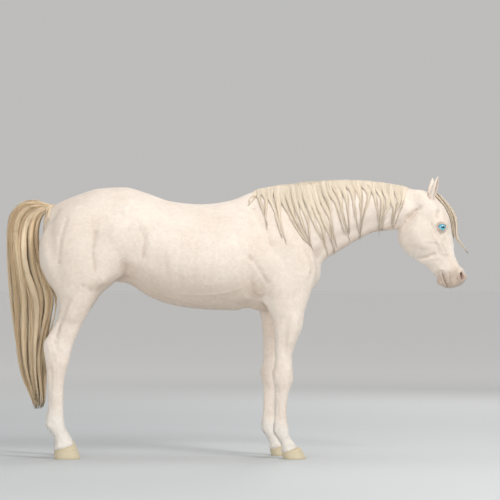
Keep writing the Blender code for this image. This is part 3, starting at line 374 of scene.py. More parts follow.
# The body's finer forms, by where they're seen from and their edge: height, reach, then points as
# distance ahead of the rump and height above the floor.
bodyForms = {
    ("side", "soft"): {
        "bladeSpine": (0.004, 0.022, (1.262, 1.44), (1.33, 1.33), (1.42, 1.19)),
        "bladeHollow": (-0.0058, 0.03, (1.205, 1.4), (1.25, 1.29), (1.3, 1.2)),
        "tricepsCut": (-0.0058, 0.018, (1.175, 1.13), (1.24, 1.05), (1.29, 0.96)),
        "tricepsEdge": (0.004, 0.026, (1.2, 1.09), (1.215, 0.99), (1.235, 0.93)),
        "breastFold": (-0.0072, 0.016, (1.535, 1.08), (1.52, 1.01), (1.485, 0.96)),
        "neckFoot": (-0.0101, 0.022, (1.505, 1.155), (1.53, 1.105), (1.54, 1.06)),
        "neckFoot2": (-0.0058, 0.02, (1.44, 1.24), (1.48, 1.19), (1.5, 1.15)),
        "bellyVein": (0.0022, 0.01, (1.13, 0.955), (1.04, 0.925), (0.93, 0.915), (0.8, 0.925)),
        "rib1": (-0.0023, 0.022, (0.985, 1.26), (0.96, 1.12), (0.95, 0.99)),
        "rib2": (-0.0023, 0.022, (0.9, 1.28), (0.875, 1.13), (0.87, 1.0)),
        "rib3": (-0.0023, 0.022, (0.815, 1.29), (0.79, 1.14), (0.79, 1.01)),
        "rib4": (-0.002, 0.022, (0.735, 1.29), (0.715, 1.15), (0.72, 1.03)),
        "flankCut": (-0.0072, 0.026, (0.56, 1.33), (0.6, 1.23), (0.59, 1.13)),
        "hipBone": (0.005, 0.026, (0.512, 1.412), (0.495, 1.372)),
        "buttockCut": (-0.0058, 0.022, (0.165, 1.34), (0.13, 1.22), (0.125, 1.1)),
        "thighCut": (-0.0058, 0.024, (0.33, 1.26), (0.315, 1.15), (0.325, 1.06)),
        "stifleBone": (0.005, 0.02, (0.362, 1.01), (0.368, 0.985)),
        "stifleTendon": (0.003, 0.014, (0.35, 0.985), (0.33, 0.93)),
        "gaskinEdge": (0.004, 0.02, (0.205, 0.9), (0.165, 0.81), (0.125, 0.72)),
        "hamstring": (-0.0072, 0.013, (0.132, 0.775), (0.112, 0.705), (0.095, 0.655)),
        "hockBone": (0.0035, 0.012, (0.06, 0.64), (0.066, 0.6)),
        "hockFront": (-0.0043, 0.014, (0.135, 0.6), (0.12, 0.565)),
        "hockSide": (0.003, 0.016, (0.105, 0.585), (0.11, 0.545)),
        "hindSplint": (0.0022, 0.008, (0.092, 0.52), (0.086, 0.34)),
        "hindTendon": (-0.0041, 0.009, (0.073, 0.52), (0.07, 0.28)),
        "hindFetlock": (0.003, 0.016, (0.092, 0.222), (0.094, 0.212)),
        "hindPastern": (-0.0043, 0.014, (0.135, 0.148), (0.15, 0.12)),
        "forearmCut1": (-0.003, 0.019, (1.395, 0.8), (1.385, 0.69), (1.372, 0.59)),
        "forearmCut2": (-0.0022, 0.017, (1.345, 0.79), (1.35, 0.7), (1.352, 0.6)),
        "kneeTop": (0.003, 0.018, (1.405, 0.505), (1.402, 0.495)),
        "kneeBack": (0.0026, 0.012, (1.325, 0.48), (1.326, 0.462)),
        "kneeLow": (0.0024, 0.014, (1.378, 0.415), (1.38, 0.405)),
        "foreSplint": (0.002, 0.008, (1.352, 0.4), (1.348, 0.26)),
        "foreTendon": (-0.0038, 0.009, (1.338, 0.4), (1.334, 0.215)),
        "foreFetlock": (0.003, 0.015, (1.352, 0.172), (1.354, 0.16)),
        "forePastern": (-0.0038, 0.013, (1.395, 0.12), (1.41, 0.096)),
        "atlasFill": (0.0035, 0.022, (2.13, 1.42), (2.112, 1.402)),
        "jawEdge": (0.0025, 0.013, (2.132, 1.38), (2.101, 1.346), (2.068, 1.309), (2.031, 1.268)),
        "flankFold2": (-0.0055, 0.013, (0.254, 0.966), (0.3, 0.938), (0.345, 0.935), (0.4, 0.968)),
    },
    ("side", "sharp"): {
        "elbowFold1": (-0.0058, 0.011, (1.17, 0.96), (1.188, 0.925), (1.22, 0.905)),
        "elbowFold2": (-0.0043, 0.01, (1.148, 0.975), (1.16, 0.93), (1.185, 0.9)),
        "flankFold1": (-0.0051, 0.012, (0.48, 1.065), (0.455, 1.03), (0.41, 1.0)),
        "kneeRow": (-0.0038, 0.01, (1.38, 0.462), (1.398, 0.43)),
        "throatFold1": (-0.0058, 0.012, (2.02, 1.33), (1.985, 1.29), (1.962, 1.262)),
        "throatFold2": (-0.0043, 0.011, (1.985, 1.335), (1.95, 1.3), (1.925, 1.272)),
        "throatFold3": (-0.0032, 0.01, (1.955, 1.345), (1.92, 1.312), (1.895, 1.285)),
        "jawRear": (-0.0095, 0.012, (2.116, 1.392), (2.085, 1.358), (2.052, 1.321), (2.014, 1.279)),
    },
    ("inner", "soft"): {
        "hindTendonIn": (-0.0041, 0.009, (0.073, 0.52), (0.07, 0.28)),
        "forearmVein": (0.0022, 0.008, (1.385, 0.82), (1.395, 0.7), (1.372, 0.58)),
        "foreTendonIn": (-0.0038, 0.009, (1.338, 0.4), (1.334, 0.215)),
    },
}

# The head's forms, as distance down the head and out to the face.
headForms = {
    ("head", "soft"): {
        "orbitTop": (0.004, 0.015, (0.206, -0.014), (0.194, 0.01), (0.204, 0.036)),
        "orbitRear": (0.003, 0.013, (0.212, -0.026), (0.236, -0.03)),
        "orbitFront": (0.002, 0.012, (0.222, 0.046), (0.244, 0.044)),
        "templeHollow": (-0.004, 0.021, (0.146, 0.027), (0.158, 0.02), (0.166, 0.016)),
        "templeMuscle": (0.0035, 0.024, (0.095, 0.022), (0.125, 0.018)),
        "behindEye": (-0.004, 0.012, (0.193, -0.036), (0.24, -0.032), (0.296, -0.021)),
        "cheekArch": (0.003, 0.013, (0.215, -0.048), (0.262, -0.042), (0.3, -0.034)),
        "facialCrest": (0.0045, 0.011, (0.282, -0.028), (0.33, -0.022), (0.388, -0.014)),
        "crestUnder": (-0.0035, 0.015, (0.305, -0.048), (0.378, -0.038)),
        "cheekEdge": (-0.005, 0.014, (0.34, -0.19), (0.358, -0.155), (0.367, -0.115), (0.36, -0.07)),
        "cheekSlip": (0.003, 0.03, (0.3, -0.12), (0.31, -0.09)),
        "cheekDip": (-0.0025, 0.03, (0.225, -0.085), (0.255, -0.095)),
        "jawVein": (0.0024, 0.007, (0.374, -0.15), (0.38, -0.105), (0.388, -0.06), (0.374, -0.018)),
        "jawVein2": (0.0022, 0.0062, (0.374, -0.018), (0.345, 0.004), (0.3, 0.016), (0.272, 0.026)),
        "noseVein": (0.002, 0.006, (0.374, -0.014), (0.41, 0.008), (0.45, 0.02), (0.48, 0.018)),
        "crossVein": (0.002, 0.006, (0.275, -0.09), (0.29, -0.066), (0.292, -0.05)),
        "nasalHollow": (-0.005, 0.015, (0.333, -0.006), (0.39, 0.002), (0.444, 0.014)),
        "nasalEdge": (0.003, 0.012, (0.3, 0.04), (0.36, 0.038), (0.43, 0.046)),
        "falseNostril": (0.0035, 0.013, (0.458, 0.04), (0.482, 0.046)),
        "tearLine": (-0.003, 0.009, (0.264, 0.03), (0.284, 0.026), (0.305, 0.02)),
        "lipPad": (0.0035, 0.02, (0.54, -0.016), (0.558, -0.018)),
        "cornerPad": (0.003, 0.014, (0.458, -0.046), (0.452, -0.062)),
        "lipFold": (-0.003, 0.01, (0.488, -0.022), (0.51, -0.028), (0.53, -0.034)),
        "chinGroove": (-0.0045, 0.014, (0.468, -0.082), (0.478, -0.098)),
        "chinPad": (0.004, 0.018, (0.514, -0.09), (0.53, -0.086)),
    },
    ("face", "soft"): {
        "noseMiddle": (-0.004, 0.013, (0.5, 0.0), (0.55, 0.0)),
        "foreheadMiddle": (0.002, 0.04, (0.12, 0.0), (0.18, 0.0)),
    },
    ("jaw", "soft"): {
        "jawGap": (-0.006, 0.022, (0.23, 0.0), (0.33, 0.0), (0.43, 0.0)),
    },
}
# The finest lines of the face, cut where the skin is densest.
faceLines = {
    ("head", "soft"): {
        "upperLip": (0.0009, 0.009, (0.48, -0.048), (0.53, -0.047), (0.572, -0.039)),
        "lowerLip": (0.001, 0.009, (0.482, -0.066), (0.53, -0.065), (0.57, -0.056)),
    },
    ("head", "sharp"): {
        "cornerFold1": (-0.0022, 0.005, (0.466, -0.046), (0.46, -0.056), (0.465, -0.068)),
        "cornerFold2": (-0.0016, 0.005, (0.454, -0.042), (0.448, -0.054), (0.453, -0.069)),
        "browFold1": (-0.0024, 0.0055, (0.192, -0.016), (0.182, 0.006), (0.188, 0.028)),
        "browFold2": (-0.0016, 0.005, (0.183, -0.012), (0.174, 0.006), (0.179, 0.024)),
        "underFold1": (-0.0016, 0.005, (0.262, -0.02), (0.268, 0.002), (0.262, 0.024)),
        "noseFold1": (-0.0016, 0.005, (0.49, 0.034), (0.486, 0.05), (0.488, 0.062)),
        "noseFold2": (-0.0014, 0.005, (0.48, 0.03), (0.475, 0.048), (0.477, 0.06)),
        "lipCrease1": (-0.0012, 0.0045, (0.54, 0.01), (0.555, 0.004), (0.566, -0.006)),
        "chinCrease": (-0.0016, 0.005, (0.505, -0.074), (0.525, -0.073), (0.545, -0.068)),
    },
}


mouthSetup = {"line": ((0.47, -0.0555), (0.5, -0.0575), (0.53, -0.056), (0.56, -0.05), (0.588, -0.046),
                       (0.64, -0.045)), "deep": 0.0058, "half": 0.0042}


def mouthCut(obj):  # the line between the lips, carried round the front of the nose
    points, normals = coordsOf(obj.data), normalsOf(obj.data)
    down, out = headMeasures(points)
    line = np.array(mouthSetup["line"])
    apart = np.abs(out - np.interp(down, line[:, 0], line[:, 1]))
    share = np.clip(1 - apart / mouthSetup["half"], 0, 1) ** 1.25 * step(down, 0.47, 0.486)
    share *= headShare(points)
    share *= 1 - step(np.abs(normals @ outWay), 0.8, 0.95)
    setCoords(obj.data, points - normals * (mouthSetup["deep"] * share)[:, None])


def refined(obj, share):  # every face that lies in the share is cut into four
    bm = bmesh.new()
    bm.from_mesh(obj.data)
    bm.verts.ensure_lookup_table()
    edges = [e for e in bm.edges if share[e.verts[0].index] and share[e.verts[1].index]]
    bmesh.ops.subdivide_edges(bm, edges=edges, cuts=1, use_grid_fill=True)
    bmesh.ops.triangulate(bm, faces=[f for f in bm.faces if len(f.verts) > 4])
    bm.to_mesh(obj.data)
    bm.free()


def inZones(points, zones):  # the points of the head within any of its zones
    down, out = headMeasures(points)
    found = np.zeros(len(points), bool)
    for downTo, outTo, reach in zones:
        found |= (down - downTo) ** 2 + (out - outTo) ** 2 < reach ** 2
    return found & (headShare(points) > 0.5)


def settled(body, passes):  # evens out the head's points and keeps its forms
    points = coordsOf(body.data)
    setCoords(body.data, relaxed(points, edgesOf(body.data), passes, (0.55, -0.52), headShare(points)))


eyeSetup = {
    "ball": 0.0262,  # radius
    "sunk": 0.0028,  # deeper than the solid's eye
    "gaze": (0.3, 0.94, 0.04),  # forward, outward and up
    # the opening between the lids, radius every 30 degrees from the front, anticlockwise
    "opening": (0.022, 0.0222, 0.019, 0.0175, 0.019, 0.023, 0.023, 0.0175, 0.017, 0.0195, 0.0195, 0.0205),
    "lid": 0.0024,
    "band": 0.019,  # how far beyond the opening the skin is drawn on to it
    "reach": 0.04,
}


def roundOpening(radii, angle):  # a closed soft outline through evenly spaced radii
    rows = np.array(radii)[:, None]
    rows = np.concatenate([rows[-2:], rows, rows[:3]])
    share = (angle / (2 * math.pi)) % 1.0 * len(radii)
    return smoothCurve(rows, (share + 2) / (len(rows) - 1))[:, 0]


def axesAt(side, gaze):  # forward, up and outward at an eye or a nostril
    out = np.array((gaze[0], side * gaze[1], gaze[2]))
    out /= np.linalg.norm(out)
    forward = np.array((1.0, 0.0, 0.0)) - out * out[0]
    forward /= np.linalg.norm(forward)
    up = np.array((0.0, 0.0, 1.0)) - out * out[2]
    up -= forward * (up @ forward)
    return forward, up / np.linalg.norm(up), out


def patchAround(bm, first, close):  # walks over the skin from the middle of the opening
    found, edge = {first}, [bm.verts[first]]
    while edge:
        vert = edge.pop()
        for link in vert.link_edges:
            other = link.other_vert(vert)
            if close[other.index] and other.index not in found:
                found.add(other.index)
                edge.append(other)
    return np.array(sorted(found))


def openEdges(bm):  # the edges round the hole, where no point may join two corners of it
    while True:
        rim = [edge for edge in bm.edges if len(edge.link_faces) == 1]
        times = {}
        for edge in rim:
            for vert in edge.verts:
                times[vert] = times.get(vert, 0) + 1
        # a dictionary keeps its order, which a set of points or faces doesn't from run to run
        pinched = dict.fromkeys(face for vert, count in times.items() if count > 2
                                for face in vert.link_faces)
        if not pinched:
            return rim
        bmesh.ops.delete(bm, geom=list(pinched), context="FACES")


def rimLoop(bm):  # the points round the hole in their order; a smaller hole that the walk left is closed
    beside = {}
    for edge in openEdges(bm):
        a, b = edge.verts
        beside.setdefault(a, []).append(b)
        beside.setdefault(b, []).append(a)
    loops, left = [], dict.fromkeys(beside)
    while left:
        start = next(iter(left))
        left.pop(start)
        loop, last, here = [start], start, beside[start][0]
        while here is not start:
            loop.append(here)
            left.pop(here, None)
            one, two = beside[here]
            last, here = here, (two if one is last else one)
        loops.append(loop)
    loops.sort(key=len)
    for spare in loops[:-1]:
        bmesh.ops.contextual_create(bm, geom=spare)
    return loops[-1]


def evenRim(loop, centre, axes):  # the rim's points, angles and heights, evened out to run one way round
    forward, up, out = axes
    turn = 2 * math.pi
    where = np.array([vert.co for vert in loop]) - centre
    angle = np.unwrap(np.arctan2(where @ up, where @ forward))
    height = where @ out
    if angle[-1] < angle[0]:
        loop.reverse()
        angle, height = angle[::-1].copy(), height[::-1].copy()
    angle -= turn * math.floor(angle[0] / turn)
    for _ in range(3):
        before, after = np.roll(angle, 1), np.roll(angle, -1)
        before[0] -= turn
        after[-1] += turn
        angle = (angle + (before + after) / 2) / 2
        height = height / 2 + (np.roll(height, 1) + np.roll(height, -1)) / 4
    return angle, height


def drawnIn(bm, loop, rows):  # new rows of faces from the rim inwards, closed at the end
    ring = loop
    for places in rows:
        fresh = [bm.verts.new(place) for place in places]
        for k in range(len(ring)):
            bm.faces.new((ring[k - 1], ring[k], fresh[k], fresh[k - 1]))
        ring = fresh
    middle = bm.verts.new(sum((vert.co for vert in ring), Vector()) / len(ring))
    for k in range(len(ring)):
        bm.faces.new((ring[k - 1], ring[k], middle))


def opened(obj, centre, axes, setup, shape, rows):
    # shapes the skin round an outline, cuts it there and draws it in row by row
    forward, up, out = axes
    points = coordsOf(obj.data)
    away = points - centre
    u, v, w = away @ forward, away @ up, away @ out
    radius, angle = np.hypot(u, v), np.arctan2(v, u)
    outline = roundOpening(setup["opening"], angle)
    close = (radius < outline + setup["band"]) & (np.abs(w) < setup["reach"])
    bm = bmesh.new()
    bm.from_mesh(obj.data)
    bm.verts.ensure_lookup_table()
    near = np.flatnonzero(close)
    chosen = patchAround(bm, int(near[np.argmin(radius[near] - w[near] * 0.4)]), close)
    raised = shape(angle[chosen], radius[chosen], outline[chosen], w[chosen])
    for k, place in zip(chosen, points[chosen] + out * (raised - w[chosen])[:, None]):
        bm.verts[k].co = place
    cut = chosen[radius[chosen] < outline[chosen] * 0.99]
    gone = dict.fromkeys(face for k in cut for face in bm.verts[k].link_faces)
    bmesh.ops.delete(bm, geom=list(gone), context="FACES")
    loop = rimLoop(bm)
    angle, height = evenRim(loop, centre, axes)
    outline = roundOpening(setup["opening"], angle)

    def placed(radius, level):
        return (centre + forward * (radius * np.cos(angle))[:, None] + up * (radius * np.sin(angle))[:, None]
                + out * level[:, None])

    for vert, place in zip(loop, placed(outline, height)):
        vert.co = place
    drawnIn(bm, loop, rows(outline, height, placed))
    around, front = set(loop), set(loop)
    for _ in range(2):
        front = {link.other_vert(vert) for vert in front for link in vert.link_edges} - around
        around |= front
    level = min(height) - 0.002
    around = [vert for vert in around - set(loop) if (vert.co - Vector(centre)).dot(Vector(out)) > level]
    for _ in range(2):
        bmesh.ops.smooth_vert(bm, verts=around, factor=0.35, use_axis_x=True, use_axis_y=True,
                              use_axis_z=True)
    bmesh.ops.recalc_face_normals(bm, faces=bm.faces)
    for face in bm.faces:
        face.smooth = True
    bm.to_mesh(obj.data)
    bm.free()


def lidShape(angle, radius, outline, height):  # the skin drawn on to the eyeball, with the folds of the lids
    ball, lid = eyeSetup["ball"], eyeSetup["lid"]
    upper = step(np.sin(angle), -0.15, 0.45)
    lower = step(-np.sin(angle), -0.05, 0.55)
    rimHeight = np.sqrt((ball + lid) ** 2 - outline ** 2)
    fall = np.minimum(outline / rimHeight, 0.75)
    beyond = np.maximum(radius - outline, 0)
    onLid = rimHeight - fall * beyond * (1 - 0.5 * beyond / eyeSetup["band"])
    blend = 1 - step(beyond, 0.001, eyeSetup["band"])
    fold = np.interp(beyond, (0.0, 0.001, 0.0026, 0.0045, 0.006, 0.007, 0.0082, 0.0096, 0.012, 0.015),
                     (-0.15, 0.15, 0.55, 0.5, -0.2, -1.1, -0.9, 0.3, 0.8, 0.0))
    return height * (1 - blend) + onLid * blend + fold * (0.0017 * upper + 0.0008 * lower)


def lidRows(outline, _, placed):  # over the lid's edge, round and behind the eyeball
    ball, lid = eyeSetup["ball"], eyeSetup["lid"]
    for share, gap in ((0.99, 0.88), (0.978, 0.6), (0.966, 0.22)):
        radius = outline * share
        yield placed(radius, np.sqrt((ball + lid * gap) ** 2 - radius ** 2))
    tilt = np.arcsin(np.minimum(outline * 0.966 / (ball + 0.0005), 0.98))
    for share in (0.1, 0.3, 0.55, 0.8, 0.93):
        turned = tilt + (math.pi - tilt) * share
        yield placed((ball + 0.0005) * np.sin(turned), (ball + 0.0005) * np.cos(turned))


def nostrilShape(angle, radius, outline, height):  # the flared rim, fuller at the outer rear
    wing = 0.55 + 0.45 * np.cos(angle - math.pi * 0.85)
    beyond = np.maximum(radius - outline, 0)
    lift = np.interp(beyond, (0.0, 0.001, 0.0025, 0.0045, 0.0075, 0.0115, 0.015),
                     (1.6, 2.5, 3.0, 2.7, 1.5, 0.4, 0.0))
    return height + 0.001 * lift * wing


def nostrilRows(outline, height, placed):  # over the rim and up into the nose
    for share, depth, rise in ((0.955, 0.9, 0.0), (0.92, 2.2, 0.5), (0.88, 4.0, 1.5), (0.82, 6.5, 3.8),
                               (0.75, 9.0, 8.0), (0.66, 11.5, 14.0), (0.54, 13.0, 20.0),
                               (0.38, 14.0, 25.0)):
        yield placed(outline * share, height - 0.001 * depth) - downWay * 0.001 * rise


def eyeCentre(side):
    return np.array((eyeSpot.x, side * (abs(eyeSpot.y) - eyeSetup["sunk"]), eyeSpot.z))


nostrilPlaces = {}  # where each nostril opens and the way it faces, kept for its colour


def nostrilFrame(tree, side):  # read on the right and mirrored
    hits = []
    for down in (-0.01, 0.0, 0.01):
        for out in (-0.012, -0.004, 0.004):
            x, z = onHead(nostrilSetup["at"][0] + down, nostrilSetup["at"][1] + out)
            hits.append(tree.ray_cast(Vector((x, -2, z)), Vector((0, 1, 0)))[:2])
    place = np.array(hits[4][0])
    out = np.mean([np.array(normal) for _, normal in hits], axis=0) + np.array(nostrilSetup["turn"])
    place[1] *= -side
    out[1] *= -side
    out /= np.linalg.norm(out)
    up = -downWay - out * (-downWay @ out)
    up /= np.linalg.norm(up)
    forward = outWay - out * (outWay @ out) - up * (outWay @ up)
    return place, (forward / np.linalg.norm(forward), up, out)


earSetup = {"levels": 2, "sunk": 0.016, "foot": 0.03, "blend": 0.02, "softPasses": 12}


def withEar(body, side):  # a smooth ear set into the head
    node = "ear_right" if side < 0 else "ear_left"
    low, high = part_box(node)
    ear = copyOf(node, node + "Flesh", toQuads=True)
    applied(ear, "SUBSURF", levels=earSetup["levels"], render_levels=earSetup["levels"])
    points = coordsOf(ear.data)
    foot = 1 - step(points[:, 2], low.z, low.z + earSetup["foot"])
    middle = points[foot > 0.3].mean(0)
    points[:, 2] -= foot * earSetup["sunk"]
    points[:, :2] += (middle[:2] - points[:, :2]) * foot[:, None] * 0.15
    setCoords(ear.data, points)
    active(body)
    cut = body.modifiers.new("Ear", "BOOLEAN")
    cut.operation, cut.solver, cut.object = "UNION", "EXACT", ear
    bpy.ops.object.modifier_apply(modifier=cut.name)
    bpy.data.objects.remove(ear)
    points, edges = coordsOf(body.data), edgesOf(body.data)
    base = np.array(((low.x + high.x) / 2 - 0.012, (low.y + high.y) / 2 - side * 0.006, low.z + 0.004))
    near = 1 - step(np.linalg.norm((points - base) * (1, 1, 1.1), axis=1), 0.022, 0.022 + earSetup["blend"])
    setCoords(body.data, relaxed(points, edges, earSetup["softPasses"], (0.5,), near))


def slimmed(body):  # fewer faces, their edges longest on the body and shortest on the eyes, nose and lips
    points = coordsOf(body.data)
    head = headShare(points)
    kept = inZones(points, skinSetup["kept"])
    weight = np.where(kept, 0.06, 0.76 - 0.38 * head - 0.08 * legShare(points) * (1 - head))
    group = body.vertex_groups.new(name="broad")
    for level in np.unique(np.round(weight, 2)):
        group.add(np.flatnonzero(np.round(weight, 2) == level).tolist(), float(level), "REPLACE")
    faces = sum(len(p.vertices) - 2 for p in body.data.polygons)
    if faces > skinSetup["triangles"]:
        applied(body, "DECIMATE", ratio=skinSetup["triangles"] / faces, vertex_group="broad",
                vertex_group_factor=1.6, use_collapse_triangulate=True)
    body.vertex_groups.clear()


def unfolded(body):  # the few faces that slimming folded over are drawn flat again
    share = np.zeros(len(body.data.vertices))
    bm = bmesh.new()
    bm.from_mesh(body.data)
    for edge in bm.edges:
        if edge.calc_face_angle(0.0) > skinSetup["foldAngle"]:
            for corner in edge.verts:
                share[[other.index for link in corner.link_edges for other in link.verts]] = 1
    bm.free()
    points = coordsOf(body.data)
    share *= (headShare(points) < 0.01) & (points[:, 2] > 0.12)  # not on the head nor inside the hooves
    points = relaxed(points, edgesOf(body.data), skinSetup["foldPasses"], (0.6,), share)
    inside = skinSetup["inside"]
    setCoords(body.data, np.clip(points, np.array(cadLow) + inside, np.array(cadHigh) - inside))


def footed(body):  # the legs' lower ends reach a little into the hooves
    points = coordsOf(body.data)
    beside = footSetup["beside"]
    for node in hoofNodes:
        hoof = treeOf(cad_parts[node])
        low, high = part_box(node)
        near = np.sign(points[:, 1]) == np.sign(low.y + high.y)
        near &= points[:, 2] < high.z + footSetup["above"]
        near &= (points[:, 0] > low.x - beside) & (points[:, 0] < high.x + beside)
        for k in np.flatnonzero(near):
            _, facing, _, distance = hoof.find_nearest(Vector(points[k]))
            sunk = footSetup["sunk"] * float(step(np.array(distance), *footSetup["fade"]))
            points[k] -= np.array(facing) * sunk if facing.z > 0.5 else 0.0
    setCoords(body.data, points)


def makeSkin():
    body = fusedFlesh()
    print("fused skin", len(body.data.vertices))
    sculpted(body, bodyForms)
    refined(body, headShare(coordsOf(body.data)) > 0.35)
    settled(body, 4)
    sculpted(body, headForms)
    for zones in (skinSetup["fine"], skinSetup["finest"]):
        refined(body, inZones(coordsOf(body.data), zones))
        settled(body, 3)
    sculpted(body, faceLines)
    mouthCut(body)
    print("face cut", len(body.data.vertices))
    tree = treeOf(body)
    for side in (-1, 1):
        opened(body, eyeCentre(side), axesAt(side, eyeSetup["gaze"]), eyeSetup, lidShape, lidRows)
        nostrilPlaces[side] = nostrilFrame(tree, side)
        opened(body, *nostrilPlaces[side], nostrilSetup, nostrilShape, nostrilRows)
    print("eyes and nostrils opened", len(body.data.vertices))
    for side in (-1, 1):
        withEar(body, side)
    slimmed(body)
    unfolded(body)
    footed(body)
    active(body)
    bpy.ops.object.shade_smooth()
    print("skin", len(body.data.polygons))
    return body


skin = makeSkin()
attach(skin, "root")
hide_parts(*skinSetup["flesh"], "ear_right", "ear_left")


# Eyes: an eyeball with a domed cornea; its pattern is kept as places along its own axes.
irisSetup = {"bulge": 0.0017, "cornea": 0.62, "segments": 72, "rings": 48}


def makeEye(side, name, node):
    centre, (forward, up, out) = eyeCentre(side), axesAt(side, eyeSetup["gaze"])
    bpy.ops.object.select_all(action="DESELECT")
    bpy.ops.mesh.primitive_uv_sphere_add(segments=irisSetup["segments"], ring_count=irisSetup["rings"],
                                         radius=eyeSetup["ball"])
    eye = bpy.context.active_object
    eye.name = eye.data.name = name
    points = coordsOf(eye.data)
    away = points[:, [0]] * forward + points[:, [1]] * up * -side + points[:, [2]] * out
    lateral = np.hypot(points[:, 0], points[:, 1]) / eyeSetup["ball"]
    bulge = np.where(points[:, 2] > 0, 1 - step(lateral, 0.25, irisSetup["cornea"] + 0.22), 0)
    setCoords(eye.data, centre + away + out * (bulge * irisSetup["bulge"])[:, None])
    inward = unit(away)
    for label, axis in (("eyeForward", forward), ("eyeUp", up), ("eyeOut", out)):
        painted(eye, label, inward @ axis)
    active(eye)
    bpy.ops.object.mode_set(mode="EDIT")
    bpy.ops.mesh.select_all(action="SELECT")
    bpy.ops.mesh.normals_make_consistent(inside=False)
    bpy.ops.object.mode_set(mode="OBJECT")
    bpy.ops.object.shade_smooth()
    eye.data.materials.append(eyeMaterial())
    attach(eye, "root")
    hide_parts(node)
    return eye


def eyeMaterial():  # wet cornea over a pale blue iris: sharp bright reflections over fine radial fibres
    name = "wetCorneaOverBlueIris"
    if name in bpy.data.materials:
        return bpy.data.materials[name]
    material, tree, shader = newMaterial(name)
    forward, up, out = (addNode(tree, "Attribute", attribute_name=label).outputs["Fac"]
                        for label in ("eyeForward", "eyeUp", "eyeOut"))
    place = addNode(tree, "CombineXYZ", {"X": forward, "Y": up, "Z": 0.0})
    length = addNode(tree, "VectorMath", {0: place}, operation="LENGTH")
    ray = addNode(tree, "VectorMath", {0: place}, operation="NORMALIZE")
    fibres = addNode(tree, "TexNoise", {"Vector": ray, "Scale": 16.0, "Detail": 5.0, "Roughness": 0.65})
    cloud = addNode(tree, "TexNoise", {"Vector": place, "Scale": 5.0, "Detail": 3.0})
    iris = addNode(tree, "ValToRGB", {"Fac": fibres})
    setStops(iris, (0.3, "#3F94B4"), (0.72, "#A9E0EA"))
    iris = layered(tree, iris,
                   ("#5FB3CD", length, (0.3, 0.8), (0.0, 1.0)),
                   ("#6EC4DA", cloud, (0.0, 1.0), (0.0, 1.0)),
                   ("#234A5C", length, (0.74, 0.82), (0.0, 1.0)),  # the dark ring where it meets the white
                   ("#D9CDBF", length, (0.84, 0.9), (0.0, 1.0)))
    # a wide low pupil, its upper edge a little ragged
    shifted = addNode(tree, "VectorMath", {0: place, 1: (-0.06, 0.02, 0.0)}, operation="ADD")
    oval = addNode(tree, "VectorMath", {0: shifted, 1: (2.35, 4.6, 0.0)}, operation="MULTIPLY")
    reach = addNode(tree, "VectorMath", {0: oval}, operation="LENGTH")
    ragged = addNode(tree, "Math", {0: fibres, 1: 0.22, 2: reach}, operation="MULTIPLY_ADD")
    pupil = addNode(tree, "MapRange", {"Value": ragged, "From Min": 1.02, "From Max": 1.14})
    seen = addNode(tree, "Mix", {"Factor": pupil, "A": linear("#0A0F14"), "B": iris}, data_type="RGBA")
    front = addNode(tree, "Math", {0: out, 1: 0.0}, operation="GREATER_THAN")
    colour = addNode(tree, "Mix", {"Factor": front, "A": linear("#D9CDBF"), "B": seen}, data_type="RGBA")
    finished(tree, shader, {
        "Base Color": colour,
        "Roughness": addNode(tree, "MapRange", {"Value": cloud, "To Min": 0.08, "To Max": 0.16}),
        "Normal": addNode(tree, "Bump", {"Height": fibres, "Strength": 0.04, "Distance": 0.0005}),
        "Coat Weight": 1.0, "Coat Roughness": 0.03, "IOR": 1.38})
    return material


makeEye(-1, "eyeballRight", "eye_right")
makeEye(1, "eyeballLeft", "eye_left")
print("eyes")


# Coat: one set of markings and painted shade for the skin and for every tuft on it. Distances are ahead of
# the rump.
# Some colours here paint shade: under the body and between the legs, in creases, along the lips' crease and
# deep within the nostrils.
coatPaint = {
    "body": "#F1E5D9", "rump": "#EDE0D3", "shoulder": "#ECDFD2", "under": "#E4D0BE", "sock": "#F2ECE4",
    "blaze": "#F4EEE6", "muzzle": "#C2AF9F", "lips": "#A98F83", "nose": "#7A5850", "deepNostrilShade": "#33211F",
    "eyeRing": "#B49C90", "innerEar": "#CDB2A2", "crease": "#A98E7C",
}


def mixed(base, colour, share):
    tint = np.array(linear(colour))
    return base + (tint - base) * np.clip(share, 0, 1)[:, None]


def hollowsOf(obj):  # about 1 in a crease, 0 on the flat and below 0 on a ridge
    points, edges = coordsOf(obj.data), edgesOf(obj.data)
    soft = relaxed(points, edges, 14, (0.6, 0.6), np.ones(len(points)))
    return np.einsum("ij,ij->i", soft - points, normalsOf(obj.data)) / 0.0012


